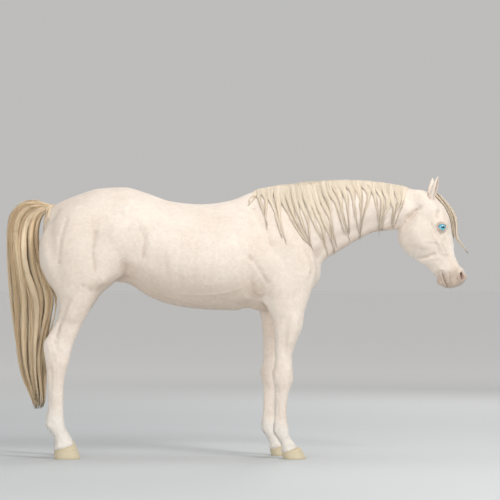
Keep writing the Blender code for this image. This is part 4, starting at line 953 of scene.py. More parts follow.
def coatAt(points, normals, hollow):  # the coat's colour with its painted shade, and how bare the skin is
    ahead, height = points[:, 0] - rump, points[:, 2]
    down, out = headMeasures(points)
    head = headShare(points)
    body = 1 - head
    wander = 0.02 * np.sin(points[:, 0] * 23 + points[:, 1] * 31)
    wander += 0.012 * np.sin(points[:, 0] * 71 - points[:, 1] * 57)
    colour = np.repeat(np.array([linear(coatPaint["body"])]), len(points), 0)
    colour = mixed(colour, coatPaint["rump"], step(ahead, 0.55, 0.15) * step(height, 0.6, 0.9))
    shoulder = step(ahead, 1.1, 1.25) * step(ahead, 1.62, 1.42) * step(height, 0.85, 1.05)
    shoulder *= step(height, 1.5, 1.3)
    colour = mixed(colour, coatPaint["shoulder"], 0.7 * shoulder)
    # painted shade: the coat is darker on faces that turn downwards under the body, and between the legs,
    # where shade falls
    colour = mixed(colour, coatPaint["under"],
                   0.75 * step(normals[:, 2], -0.25, -0.85) * step(height, 0.6, 0.8) * body)
    inner = step(np.abs(points[:, 1]), 0.12, 0.04) * step(height, 0.95, 0.75) * step(height, 0.45, 0.65)
    colour = mixed(colour, coatPaint["under"], 0.5 * inner * body)
    hind = step(ahead, 0.6, 0.4)
    sock = step(height + wander, 0.27 + 0.06 * hind, 0.17 + 0.05 * hind)
    colour = mixed(colour, coatPaint["sock"], sock)
    brow = np.interp(down, (0.08, 0.14, 0.2, 0.296, 0.343, 0.443, 0.52),
                     (0.055, 0.04, 0.036, 0.031, 0.03, 0.049, 0.075))
    blaze = step(out + wander * 0.12, brow - 0.005, brow + 0.006) * step(np.abs(points[:, 1]), 0.048, 0.036)
    colour = mixed(colour, coatPaint["blaze"], blaze * head * step(down, 0.06, 0.11))
    jaw = 0.35 * np.clip(out, 0, 0.1) * (1 - step(down, 0.53, 0.56))
    muzzle = step(down + wander * 0.6 - jaw, 0.438, 0.52) * head
    colour = mixed(colour, coatPaint["muzzle"], 0.9 * muzzle)
    bare = 0.85 * muzzle
    apart = fromSpot(down, out, headSetup["eye"]) * (1 + 2 * step(np.abs(points[:, 1]), 0.055, 0.045))
    ring = step(apart, 0.038, 0.017) * head
    colour = mixed(colour, coatPaint["eyeRing"], 0.72 * ring)
    bare = np.maximum(bare, 0.9 * step(apart, 0.028, 0.018) * head)
    nose = step(fromSpot(down, out, nostrilSetup["at"]), 0.024, 0.01) * head
    nose *= step(np.abs(points[:, 1]), 0.012, 0.02)
    colour = mixed(colour, coatPaint["lips"], 0.8 * nose)
    ears = step(height, 1.44, 1.456) * step(points[:, 0], 1.05, 1.06)
    ears *= step(np.abs(points[:, 1]), 0.026, 0.036)
    ears *= step(points[:, 0], 1.15, 1.14)
    inside = ears * step(hollow, 0.35, 1.1)
    colour = mixed(colour, coatPaint["innerEar"], 0.85 * inside)
    bare = np.maximum(bare, 0.6 * inside)
    # painted shade: the coat darkens in creases and hollows, where shade falls
    colour = mixed(colour, coatPaint["crease"], 0.3 * step(hollow, 1.0, 4.0) * (1 - ears))
    # painted shade along the crease between the lips
    line = np.array(mouthSetup["line"])
    lipCreaseShade = step(np.abs(out - np.interp(down, line[:, 0], line[:, 1])), 0.0042, 0.0012) * head
    lipCreaseShade *= step(down, 0.47, 0.482)
    colour = mixed(colour, coatPaint["nose"], 0.55 * lipCreaseShade)
    for place, axes in nostrilPlaces.values():  # dark within the nostrils: the lining's own darker skin near the rim, then painted shade deepening to near black inside
        away = points - place
        sunk = away @ np.array(axes[2])
        beside = np.linalg.norm(away - sunk[:, None] * np.array(axes[2]), axis=1)
        within = (beside < 0.03) * (sunk > -0.034)
        colour = mixed(colour, coatPaint["nose"], step(sunk, -0.002, -0.009) * within)
        colour = mixed(colour, coatPaint["deepNostrilShade"], step(sunk, -0.007, -0.016) * within)
    return colour, np.clip(bare, 0, 1)


def lieOfCoat(points, normals):  # the way the hair lies, along the skin
    ahead, height = points[:, 0] - rump, points[:, 2]
    head, legs = headShare(points), step(height, 0.92, 0.72)
    way = np.repeat(np.array([[-1.0, 0.0, -0.25]]), len(points), 0)
    croup = step(ahead, 0.42, 0.22) * step(height, 1.3, 1.1)
    way = way + (np.array((-0.45, 0.0, -0.9)) - way) * croup[:, None]
    way = way + (np.array((-0.75, 0.0, -0.66)) - way) * step(ahead, 1.25, 1.5)[:, None]
    chest = step(ahead, 1.5, 1.58) * step(height, 1.28, 1.16) * (1 - head)
    way = way + (np.array((-0.2, 0.0, -1.0)) - way) * chest[:, None]
    way = way + (np.array((-0.12, 0.0, -1.0)) - way) * legs[:, None]
    way = way + (downWay - way) * head[:, None]
    ears = step(height, 1.44, 1.452) * step(points[:, 0], 1.05, 1.06) * (np.abs(points[:, 1]) > 0.026)
    ears *= points[:, 0] < 1.145
    way = way + (np.array((0.1, 0.0, 1.0)) - way) * ears[:, None]
    way -= np.einsum("ij,ij->i", way, normals)[:, None] * normals
    return unit(way + 1e-9), ears


def streaks(tree, where, turn, wide, long):  # hair drawn along one way, sizes in metres
    lie = addNode(tree, "Mapping", {"Vector": where, "Rotation": (0.0, turn, 0.0),
                                    "Scale": (long, wide, wide)}, vector_type="TEXTURE")
    return addNode(tree, "TexNoise", {"Vector": lie, "Scale": 1.0, "Detail": 3.0, "Roughness": 0.6})


# short pale horse coat: soft, dull, lined along its lie, with bare grey-pink skin at the nose
def coatMaterial():
    material, tree, shader = newMaterial("shortCreamCoatOverSkin")
    where = addNode(tree, "TexCoord").outputs["Object"]
    colour = addNode(tree, "Attribute", attribute_name="coatColour")
    bare = addNode(tree, "Attribute", attribute_name="bare").outputs["Fac"]
    lines = streaks(tree, where, -0.245, 0.0022, 0.02)  # drawn coarser than hair, so that the lie shows
    for place, turn, wide, long in (("onNeck", -0.72, 0.0022, 0.018), ("onLegs", -1.57, 0.0014, 0.011),
                                    ("onHead", headSetup["pitch"], 0.0012, 0.008)):
        share = addNode(tree, "Attribute", attribute_name=place).outputs["Fac"]
        lines = addNode(tree, "Mix", {"Factor": share, "A": lines,
                                      "B": streaks(tree, where, turn, wide, long)})
    broad = addNode(tree, "TexNoise", {"Vector": where, "Scale": 7.0, "Detail": 4.0})
    patch = addNode(tree, "TexNoise", {"Vector": where, "Scale": 45.0, "Detail": 3.0})
    pores = addNode(tree, "TexVoronoi", {"Vector": where, "Scale": 420.0})
    warm = layered(tree, colour, ("#CDB094", broad, (0.35, 0.7), (0.0, 0.2)))
    dust = addNode(tree, "MapRange", {"Value": patch, "From Min": 0.3, "From Max": 0.75,
                                      "To Min": 1.03, "To Max": 0.93})
    hairLight = addNode(tree, "MapRange", {"Value": lines, "From Min": 0.3, "From Max": 0.7,
                                           "To Min": 0.88, "To Max": 1.06})
    both = addNode(tree, "Math", {0: dust, 1: hairLight}, operation="MULTIPLY")
    lit = addNode(tree, "VectorMath", {0: warm, "Scale": both}, operation="SCALE")
    dull = addNode(tree, "MapRange", {"Value": lines, "To Min": 0.56, "To Max": 0.74})
    damp = addNode(tree, "MapRange", {"Value": pores, "To Min": 0.4, "To Max": 0.52})
    pitted = addNode(tree, "Math", {0: pores, 1: 0.7}, operation="MULTIPLY")
    raised = addNode(tree, "Mix", {"Factor": bare, "A": lines, "B": pitted})
    finished(tree, shader, {
        "Base Color": lit,
        "Roughness": addNode(tree, "Mix", {"Factor": bare, "A": dull, "B": damp}),
        "Normal": addNode(tree, "Bump", {"Height": raised, "Strength": 0.45, "Distance": 0.0011}),
        "Sheen Weight": 0.18, "Sheen Roughness": 0.45, "IOR": 1.42})
    return material


def dressSkin():
    points, normals, hollow = coordsOf(skin.data), normalsOf(skin.data), hollowsOf(skin)
    colour, bare = coatAt(points, normals, hollow)
    # the coat's colour, its painted shade included; the tufts take the same
    painted(skin, "coatColour", colour)
    painted(skin, "bare", bare)
    painted(skin, "onLegs", step(points[:, 2], 0.95, 0.72))
    painted(skin, "onNeck", step(points[:, 0] - rump, 1.25, 1.5))
    painted(skin, "onHead", headShare(points))
    skin.data.materials.append(coatMaterial())
    return colour


skinColour = dressSkin()
print("coat painted")


# Hair: each strand is a thin closed rod of three sides, drawn to a point. Strands gather into locks.
strandSetup = {"flat": 0.55, "patch": 0.003, "inside": 0.0012}


def strandPiece(name, paths, radii, facing, shade, places, material, colour=None, flat=strandSetup["flat"]):
    count, knots = paths.shape[:2]
    paths = np.clip(paths, np.array(cadLow) + strandSetup["inside"],
                    np.array(cadHigh) - strandSetup["inside"])
    along = unit(np.gradient(paths, axis=1))
    side = unit(np.cross(along, facing[:, None, :] if facing.ndim == 2 else facing))
    depth = np.cross(side, along)
    angles = np.radians((90, 210, 330))[None, None, :, None]
    thick = radii[:, :-1, None, None]
    rings = (paths[:, :-1, None, :] + side[:, :-1, None, :] * np.cos(angles) * thick
             + depth[:, :-1, None, :] * np.sin(angles) * thick * flat)
    per = (knots - 1) * 3 + 1
    verts = np.concatenate([rings.reshape(count, -1, 3), paths[:, -1:, :]], 1).reshape(-1, 3)
    one = []
    for k in range(knots - 2):
        for j in range(3):
            a, b = 3 * k + j, 3 * k + (j + 1) % 3
            one.append((a, a + 3, b + 3, b))
    tip, last = per - 1, 3 * (knots - 2)
    sides = np.array(one)
    ends = np.array([(last + (j + 1) % 3, last + j, tip) for j in range(3)] + [(0, 1, 2)])
    starts = np.arange(count)[:, None, None] * per
    quads = (sides[None] + starts).reshape(-1, 4)
    tris = (ends[None] + starts).reshape(-1, 3)
    mesh = bpy.data.meshes.new(name)
    mesh.vertices.add(len(verts))
    mesh.vertices.foreach_set("co", verts.ravel())
    loops = np.concatenate([quads.ravel(), tris.ravel()])
    mesh.loops.add(len(loops))
    mesh.loops.foreach_set("vertex_index", loops)
    mesh.polygons.add(len(quads) + len(tris))
    mesh.polygons.foreach_set("loop_start", np.concatenate([np.arange(len(quads)) * 4,
                                                            len(quads) * 4 + np.arange(len(tris)) * 3]))
    mesh.update(calc_edges=True)
    down = np.append(np.repeat(np.arange(knots - 1), 3), knots - 1) / (knots - 1)
    across = np.append(np.tile((0.0, 0.5, 1.0), knots - 1), 0.5)
    strand, spot = loops // per, loops % per
    uv = np.stack([places[strand, 0] + (across[spot] - 0.5) * strandSetup["patch"],
                   places[strand, 1] + (down[spot] - 0.5) * strandSetup["patch"]], 1)
    layer = mesh.uv_layers.new(name="OFBake")
    layer.uv.foreach_set("vector", np.clip(uv, 0.001, 0.999).astype(np.float32).ravel())
    obj = bpy.data.objects.new(name, mesh)
    bpy.context.scene.collection.objects.link(obj)
    painted(obj, "down", np.tile(down, count))
    if np.ndim(shade) == 2:  # one for each knot
        shade = np.concatenate([np.repeat(shade[:, :-1], 3, axis=1), shade[:, -1:]], 1).ravel()
    else:
        shade = np.repeat(shade, per)
    painted(obj, "shade", shade)
    if colour is not None:
        painted(obj, "coatColour", np.repeat(colour, per, axis=0))
    active(obj)
    bpy.ops.object.shade_smooth()
    if colour is not None:  # the short coat takes the light as the skin under it does
        mesh.normals_split_custom_set_from_vertices(np.repeat(facing, per, axis=0))
    obj.data.materials.append(material)
    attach(obj, "root")
    return obj


def hairMaterial(name, light, deep, bright):  # coarse mane or tail hair: dull, streaked along each lock, with each strand's painted shade drawn towards the deep colour
    material, tree, shader = newMaterial(name)
    shade = addNode(tree, "Attribute", attribute_name="shade").outputs["Fac"]
    down = addNode(tree, "Attribute", attribute_name="down").outputs["Fac"]
    where = addNode(tree, "TexCoord").outputs["Object"]
    stretched = addNode(tree, "Mapping", {"Vector": where, "Scale": (260.0, 260.0, 30.0)})
    # strands about 4 mm apart, drawn coarser than hair so that they show
    streak = addNode(tree, "TexNoise", {"Vector": stretched, "Scale": 1.0, "Detail": 3.0})
    broad = addNode(tree, "TexNoise", {"Vector": where, "Scale": 9.0, "Detail": 2.0})
    centred = addNode(tree, "Math", {0: streak, 1: 0.5}, operation="SUBTRACT")
    sway = addNode(tree, "Math", {0: centred, 1: 0.35, 2: shade}, operation="MULTIPLY_ADD")
    colour = addNode(tree, "ValToRGB", {"Fac": sway})
    setStops(colour, (0.05, bright), (0.45, light), (0.98, deep))
    colour = layered(tree, colour,
                     (deep, down, (0.0, 1.0), (0.1, 0.0)),  # deeper towards the roots
                     (light, broad, (0.0, 1.0), (0.0, 0.25)))
    finished(tree, shader, {
        "Base Color": colour,
        "Roughness": addNode(tree, "MapRange", {"Value": streak, "To Min": 0.46, "To Max": 0.62}),
        "Normal": addNode(tree, "Bump", {"Height": streak, "Strength": 0.3, "Distance": 0.001}),
        "Sheen Weight": 0.15, "Sheen Roughness": 0.4})
    return material


def rowsOf(table):
    return np.array(list(table.values()), float)


# Tail sections: outer x and z, inner x and z, half-width; x ahead of the rump.
tailRows = {
    "root": (0.097, 1.43, 0.107, 1.372, 0.022),
    "dock": (0.038, 1.437, 0.051, 1.374, 0.032),
    "arch": (-0.032, 1.455, 0.018, 1.35, 0.044),
    "bend": (-0.112, 1.434, 0.004, 1.316, 0.054),
    "drop": (-0.174, 1.37, 0.0, 1.27, 0.062),
    "top": (-0.193, 1.27, 0.0, 1.21, 0.069),
    "upper": (-0.192, 1.15, 0.01, 1.13, 0.072),
    "thigh": (-0.187, 1.03, 0.04, 1.03, 0.068),
    "gaskin": (-0.18, 0.915, 0.098, 0.92, 0.057),
    "aboveHock": (-0.165, 0.795, 0.092, 0.8, 0.059),
    "hock": (-0.148, 0.675, 0.057, 0.68, 0.062),
    "belowHock": (-0.133, 0.555, 0.045, 0.57, 0.06),
    "low": (-0.109, 0.44, 0.043, 0.462, 0.052),
    "taper": (-0.066, 0.345, 0.039, 0.362, 0.039),
    "thin": (-0.042, 0.296, 0.03, 0.304, 0.024),
    "tip": (-0.032, 0.266, 0.012, 0.27, 0.01),
}
tailSetup = {
    "dark": 0.62,
    "locks": 46, "strands": 8400, "pieces": 3, "knots": 13, "thick": 0.00135, "gather": 0.62, "wave": 0.085,
    "waves": 1.9, "margin": 0.955, "dock": 0.27,
}
forelockRows = {
    "root": (-0.0255, 0.2085, -0.0435, 0.2005, 0.014),
    "crown": (0.0065, 0.1825, -0.0175, 0.1845, 0.027),
    "brow": (0.0425, 0.1405, 0.0195, 0.1415, 0.033),
    "forehead": (0.0745, 0.0995, 0.0455, 0.0975, 0.035),
    "fall": (0.0935, 0.0545, 0.0615, 0.0515, 0.033),
    "middle": (0.0995, 0.0085, 0.0695, 0.0085, 0.03),
    "low": (0.0975, -0.0335, 0.0725, -0.0295, 0.025),
    "turn": (0.1055, -0.0635, 0.0805, -0.0565, 0.018),
    "curl": (0.1265, -0.0925, 0.1025, -0.0855, 0.012),
    "thin": (0.1475, -0.1245, 0.1315, -0.1195, 0.007),
    "tip": (0.1605, -0.1525, 0.157, -0.1495, 0.002),
}
forelockSetup = {
    "dark": 0.45,
    "locks": 9, "strands": 1300, "pieces": 1, "knots": 12, "thick": 0.001, "gather": 0.48, "wave": 0.1,
    "waves": 1.3, "margin": 0.94, "dock": 0.1,
}
nearForelockRows = {
    "root": (-0.038, 0.206, -0.048, 0.199, 0.012),
    "crown": (-0.014, 0.184, -0.04, 0.183, 0.022),
    "brow": (0.0225, 0.1405, 0.0035, 0.1415, 0.028),
    "forehead": (0.047, 0.0995, 0.0345, 0.0985, 0.028),
    "fall": (0.063, 0.0545, 0.0545, 0.0535, 0.025),
    "middle": (0.072, 0.0085, 0.0632, 0.0085, 0.021),
    "low": (0.076, -0.0335, 0.068, -0.033, 0.014),
    "tip": (0.08, -0.07, 0.077, -0.069, 0.004),
}
nearForelockSetup = {
    "dark": 0.35,
    "locks": 7, "strands": 800, "pieces": 1, "knots": 10, "thick": 0.00095, "gather": 0.45, "wave": 0.1,
    "waves": 1.2, "margin": 0.95, "dock": 0.1,
}


goldenAngle = 2.399963  # radians from one lock to the next, which spreads them evenly


# Hair that grows from a short root and falls in locks.
def tress(name, rows, origin, setup, material, node):
    count, knots = setup["strands"], setup["knots"]
    rows = rows + np.array((origin[0], origin[1], origin[0], origin[1], 0.0))
    golden = np.arange(setup["locks"]) + 0.5
    lockReach = np.sqrt(golden / setup["locks"]) * 0.93
    lockTurn = golden * goldenAngle + 0.7
    lockCentre = np.stack([lockReach * np.cos(lockTurn), lockReach * np.sin(lockTurn)], 1)
    lockPhase = dice.uniform(0, 2 * math.pi, setup["locks"])
    lockEnd = 1 - 0.3 * dice.random(setup["locks"]) ** 1.7
    lockEnd[np.argsort(-lockReach)[::4]] = 1.0
    reach = np.sqrt(dice.uniform(0.1, 1.0, count))
    turn = dice.uniform(0, 2 * math.pi, count)
    spot = np.stack([reach * np.cos(turn), reach * np.sin(turn)], 1)
    apart = np.linalg.norm(spot[:, None] - lockCentre[None], axis=2)
    lock = apart.argmin(1)
    edge = apart.min(1) * math.sqrt(setup["locks"]) / 1.05
    start = setup["dock"] * dice.random(count) ** 0.8
    end = lockEnd[lock] * (1 - 0.05 * dice.random(count))
    end -= 0.2 * (dice.random(count) < 0.08) * dice.random(count)
    t = start[:, None] + (end - start)[:, None] * (np.linspace(0, 1, knots) ** 0.95)[None]
    share = (t - start[:, None]) / (end - start)[:, None]
    gather = setup["gather"] * (0.35 + 0.65 * step(share, 0.1, 0.95))[..., None]
    here = spot[:, None] * (1 - gather) + lockCentre[lock][:, None] * gather
    swing = np.sin(2 * math.pi * setup["waves"] * t + lockPhase[lock][:, None])
    wave = setup["wave"] * step(share, 0.05, 0.35) * swing
    here[..., 0] += wave
    here[..., 1] += wave * 0.6 * np.cos(lockPhase[lock])[:, None]
    here *= (0.3 + 0.7 * step(share, 0.0, 0.16))[..., None]
    here /= np.maximum(np.linalg.norm(here, axis=2, keepdims=True), setup["margin"]) / setup["margin"]
    section = smoothCurve(rows, t)
    outer, inner, half = section[..., 0:2], section[..., 2:4], section[..., 4]
    mix = (here[..., [0]] + 1) / 2
    flat = inner * (1 - mix) + outer * mix
    paths = np.stack([flat[..., 0], here[..., 1] * half, flat[..., 1]], 2)
    middle = (outer + inner) / 2
    facing = paths - np.stack([middle[..., 0], np.zeros_like(half), middle[..., 1]], 2)
    facing += 1e-4
    thick = setup["thick"] * dice.uniform(0.75, 1.25, count)
    radii = thick[:, None] * np.clip(1.15 * (1 - share ** 2.2), 0.16, 1)
    depth = np.linalg.norm(here, axis=2).mean(1)
    # painted shade, scaled by dark: strands at the edges of locks and deep inside the fall are darker; the
    # random spread is the hair's own tone
    shade = 0.1 + 0.42 * np.clip(edge, 0, 1.3) ** 3 + 0.16 * (1 - depth) + dice.normal(0, 0.07, count)
    shade = np.clip(shade * setup["dark"], 0, 1)
    shade += 0.06 * (np.sin(lock * 12.9898) * 0.5 + 0.5)
    order = np.argsort(turn)
    for k, chosen in enumerate(np.array_split(order, setup["pieces"])):
        places = np.stack([0.02 + 0.96 * turn[chosen] / (2 * math.pi),
                           0.02 + 0.96 * start[chosen] / setup["dock"]], 1)
        piece = strandPiece(name + (str(k + 1) if setup["pieces"] > 1 else ""), paths[chosen], radii[chosen],
                            facing[chosen], np.clip(shade[chosen], 0, 1), places, material)
        if k == 0 and node:
            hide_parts(node)
        yield piece


# the deep colour of each hair is where its strands' painted shade leads; the bright and light colours are its
# own tone
tailHair = hairMaterial("wheatTailHorsehair", "#EDD6B2", "#B08A5C", "#F5E4C8")
maneHair = hairMaterial("creamManeHorsehair", "#EBDBC5", "#A48B6E", "#F4E8D6")
tailPieces = list(tress("tailHair", rowsOf(tailRows), (rump, 0.0), tailSetup, tailHair, "tail"))
print("tail", sum(len(p.data.polygons) for p in tailPieces))
forelockPieces = list(tress("forelockHair", rowsOf(forelockRows), (eyeSpot.x, eyeSpot.z), forelockSetup,
                            maneHair, "forelock"))
forelockPieces += list(tress("nearForelockHair", rowsOf(nearForelockRows), (eyeSpot.x, eyeSpot.z),
                             nearForelockSetup, maneHair, None))
print("forelock", sum(len(p.data.polygons) for p in forelockPieces))


# Short locks that fall from the dock over the buttock on each side, as where they start and end.
dockLocks = {
    "first": ((0.072, 1.418), (0.058, 1.326)), "second": ((0.062, 1.417), (0.044, 1.3)),
    "third": ((0.054, 1.416), (0.032, 1.262)),
}
dockSetup = {"strands": 70, "knots": 8, "thick": 0.00105, "spread": 0.011, "off": 0.003}


def makeDockHair():
    tree = treeOf(skin)
    t = np.linspace(0, 1, dockSetup["knots"])
    paths, facing, shades = [], [], []
    for side in (-1, 1):
        for start, end in dockLocks.values():
            line = np.outer(1 - t, start) + np.outer(t, end)
            line[:, 0] -= 0.01 * np.sin(math.pi * t)
            y = np.zeros(len(t))
            for k, (ahead, height) in enumerate(line):
                hit = tree.ray_cast(Vector((rump + ahead, side * 1.0, height)), Vector((0, -side, 0)))[0]
                y[k] = abs(hit.y) if hit is not None else 0.0
            y = np.maximum.accumulate(np.maximum(y, 0.014)) + dockSetup["off"]
            count = dockSetup["strands"]
            across = dice.uniform(-1, 1, count)[:, None] * dockSetup["spread"] * (1 - 0.92 * t ** 1.3)
            deep = dice.uniform(0, 0.005, count)[:, None] * (1 - 0.6 * t)
            made = np.stack([rump + line[:, 0] + across, side * (y + deep), line[:, 1] + 0.3 * across], 2)
            stop = dice.uniform(0.86, 1.0, count)
            for k in range(count):
                made[k] = np.stack([np.interp(t * stop[k], t, made[k, :, c]) for c in range(3)], 1)
            paths.append(made)
            facing.append(np.repeat([[0.0, side, 0.2]], count, 0))
            # painted shade: strands at the edges of each lock are darker
            shades.append(np.clip(0.1 + 0.25 * np.abs(across[:, 0] / dockSetup["spread"]) ** 2
                                  + dice.normal(0, 0.05, count), 0, 1))
    paths, facing, shades = (np.concatenate(part) for part in (paths, facing, shades))
    radii = dockSetup["thick"] * np.clip(1.1 * (1 - t ** 2.2), 0.15, 1)
    radii = radii * dice.uniform(0.7, 1.2, (len(paths), 1))
    places = dice.uniform(0.1, 0.9, (len(paths), 2))
    piece = strandPiece("dockHair", paths, radii, unit(facing), shades, places, tailHair)
    return piece


print("dock", len(makeDockHair().data.polygons))


# Mane locks from the withers to the poll. Each: where its roots begin and end along the crest, the notch
# behind it, the notch before it, and its tip, as distance ahead of the rump and height.
maneLocks = {
    "wisp": (1.203, 1.232, (1.19, 1.47), (1.222, 1.462), (1.171, 1.407), 2),
    "withers": (1.23, 1.288, (1.222, 1.46), (1.284, 1.425), (1.283, 1.27), 2),
    "shoulder": (1.286, 1.353, (1.284, 1.425), (1.364, 1.392), (1.38, 1.19), 2),
    "long": (1.351, 1.458, (1.364, 1.39), (1.516, 1.352), (1.528, 1.153), 4),
    "longest": (1.456, 1.516, (1.516, 1.352), (1.604, 1.27), (1.626, 1.131), 2),
    "middle": (1.514, 1.594, (1.604, 1.275), (1.642, 1.425), (1.667, 1.129), 3),
    "broad": (1.591, 1.719, (1.642, 1.425), (1.741, 1.47), (1.739, 1.207), 3),
    "fore": (1.716, 1.844, (1.741, 1.47), (1.867, 1.485), (1.798, 1.211), 3),
    "throat": (1.841, 1.969, (1.867, 1.485), (1.972, 1.402), (1.913, 1.235), 3),
    "last": (1.966, 2.074, (1.972, 1.4), (2.06, 1.45), (1.981, 1.283), 3),
}
maneSetup = {
    "strands": 5800, "pieces": 3, "thick": 0.00105, "gather": 0.8, "deep": 0.0105, "off": 0.0022,
    "grid": 0.006, "rise": 0.0045, "rootSpread": 0.012, "wave": 0.0062,
    "knots": (0.0, 0.012, 0.035, 0.075, 0.13, 0.2, 0.29, 0.4, 0.52, 0.65, 0.78, 0.9, 1.0),
}


def sideRelief(tree, low, high, cell):  # how far the right side stands out, on a grid of x and z
    xs = np.arange(low[0], high[0], cell)
    zs = np.arange(low[1], high[1], cell)
    relief = np.full((len(xs), len(zs)), np.nan)
    for i, x in enumerate(xs):
        for j, z in enumerate(zs):
            hit = tree.ray_cast(Vector((x, -1.0, z)), Vector((0, 1, 0)))[0]
            if hit is not None and hit.y < 0.02:
                relief[i, j] = -hit.y
        column = relief[i]
        real = np.flatnonzero(~np.isnan(column))
        if len(real):
            column[:real[0]] = column[real[0]]
            column[real[-1] + 1:] = 0.0
    relief = np.nan_to_num(relief)
    for _ in range(2):
        padded = np.pad(relief, 1, mode="edge")
        relief = (padded[:-2, 1:-1] + padded[2:, 1:-1] + padded[1:-1, :-2] + padded[1:-1, 2:]
                  + 4 * padded[1:-1, 1:-1]) / 8
    return xs, zs, relief


def readGrid(grid, x, z):
    xs, zs, values = grid
    i = np.clip((x - xs[0]) / (xs[1] - xs[0]), 0, len(xs) - 1.001)
    j = np.clip((z - zs[0]) / (zs[1] - zs[0]), 0, len(zs) - 1.001)
    a, b = i.astype(int), j.astype(int)
    u, v = i - a, j - b
    return ((values[a, b] * (1 - u) + values[a + 1, b] * u) * (1 - v)
            + (values[a, b + 1] * (1 - u) + values[a + 1, b + 1] * u) * v)


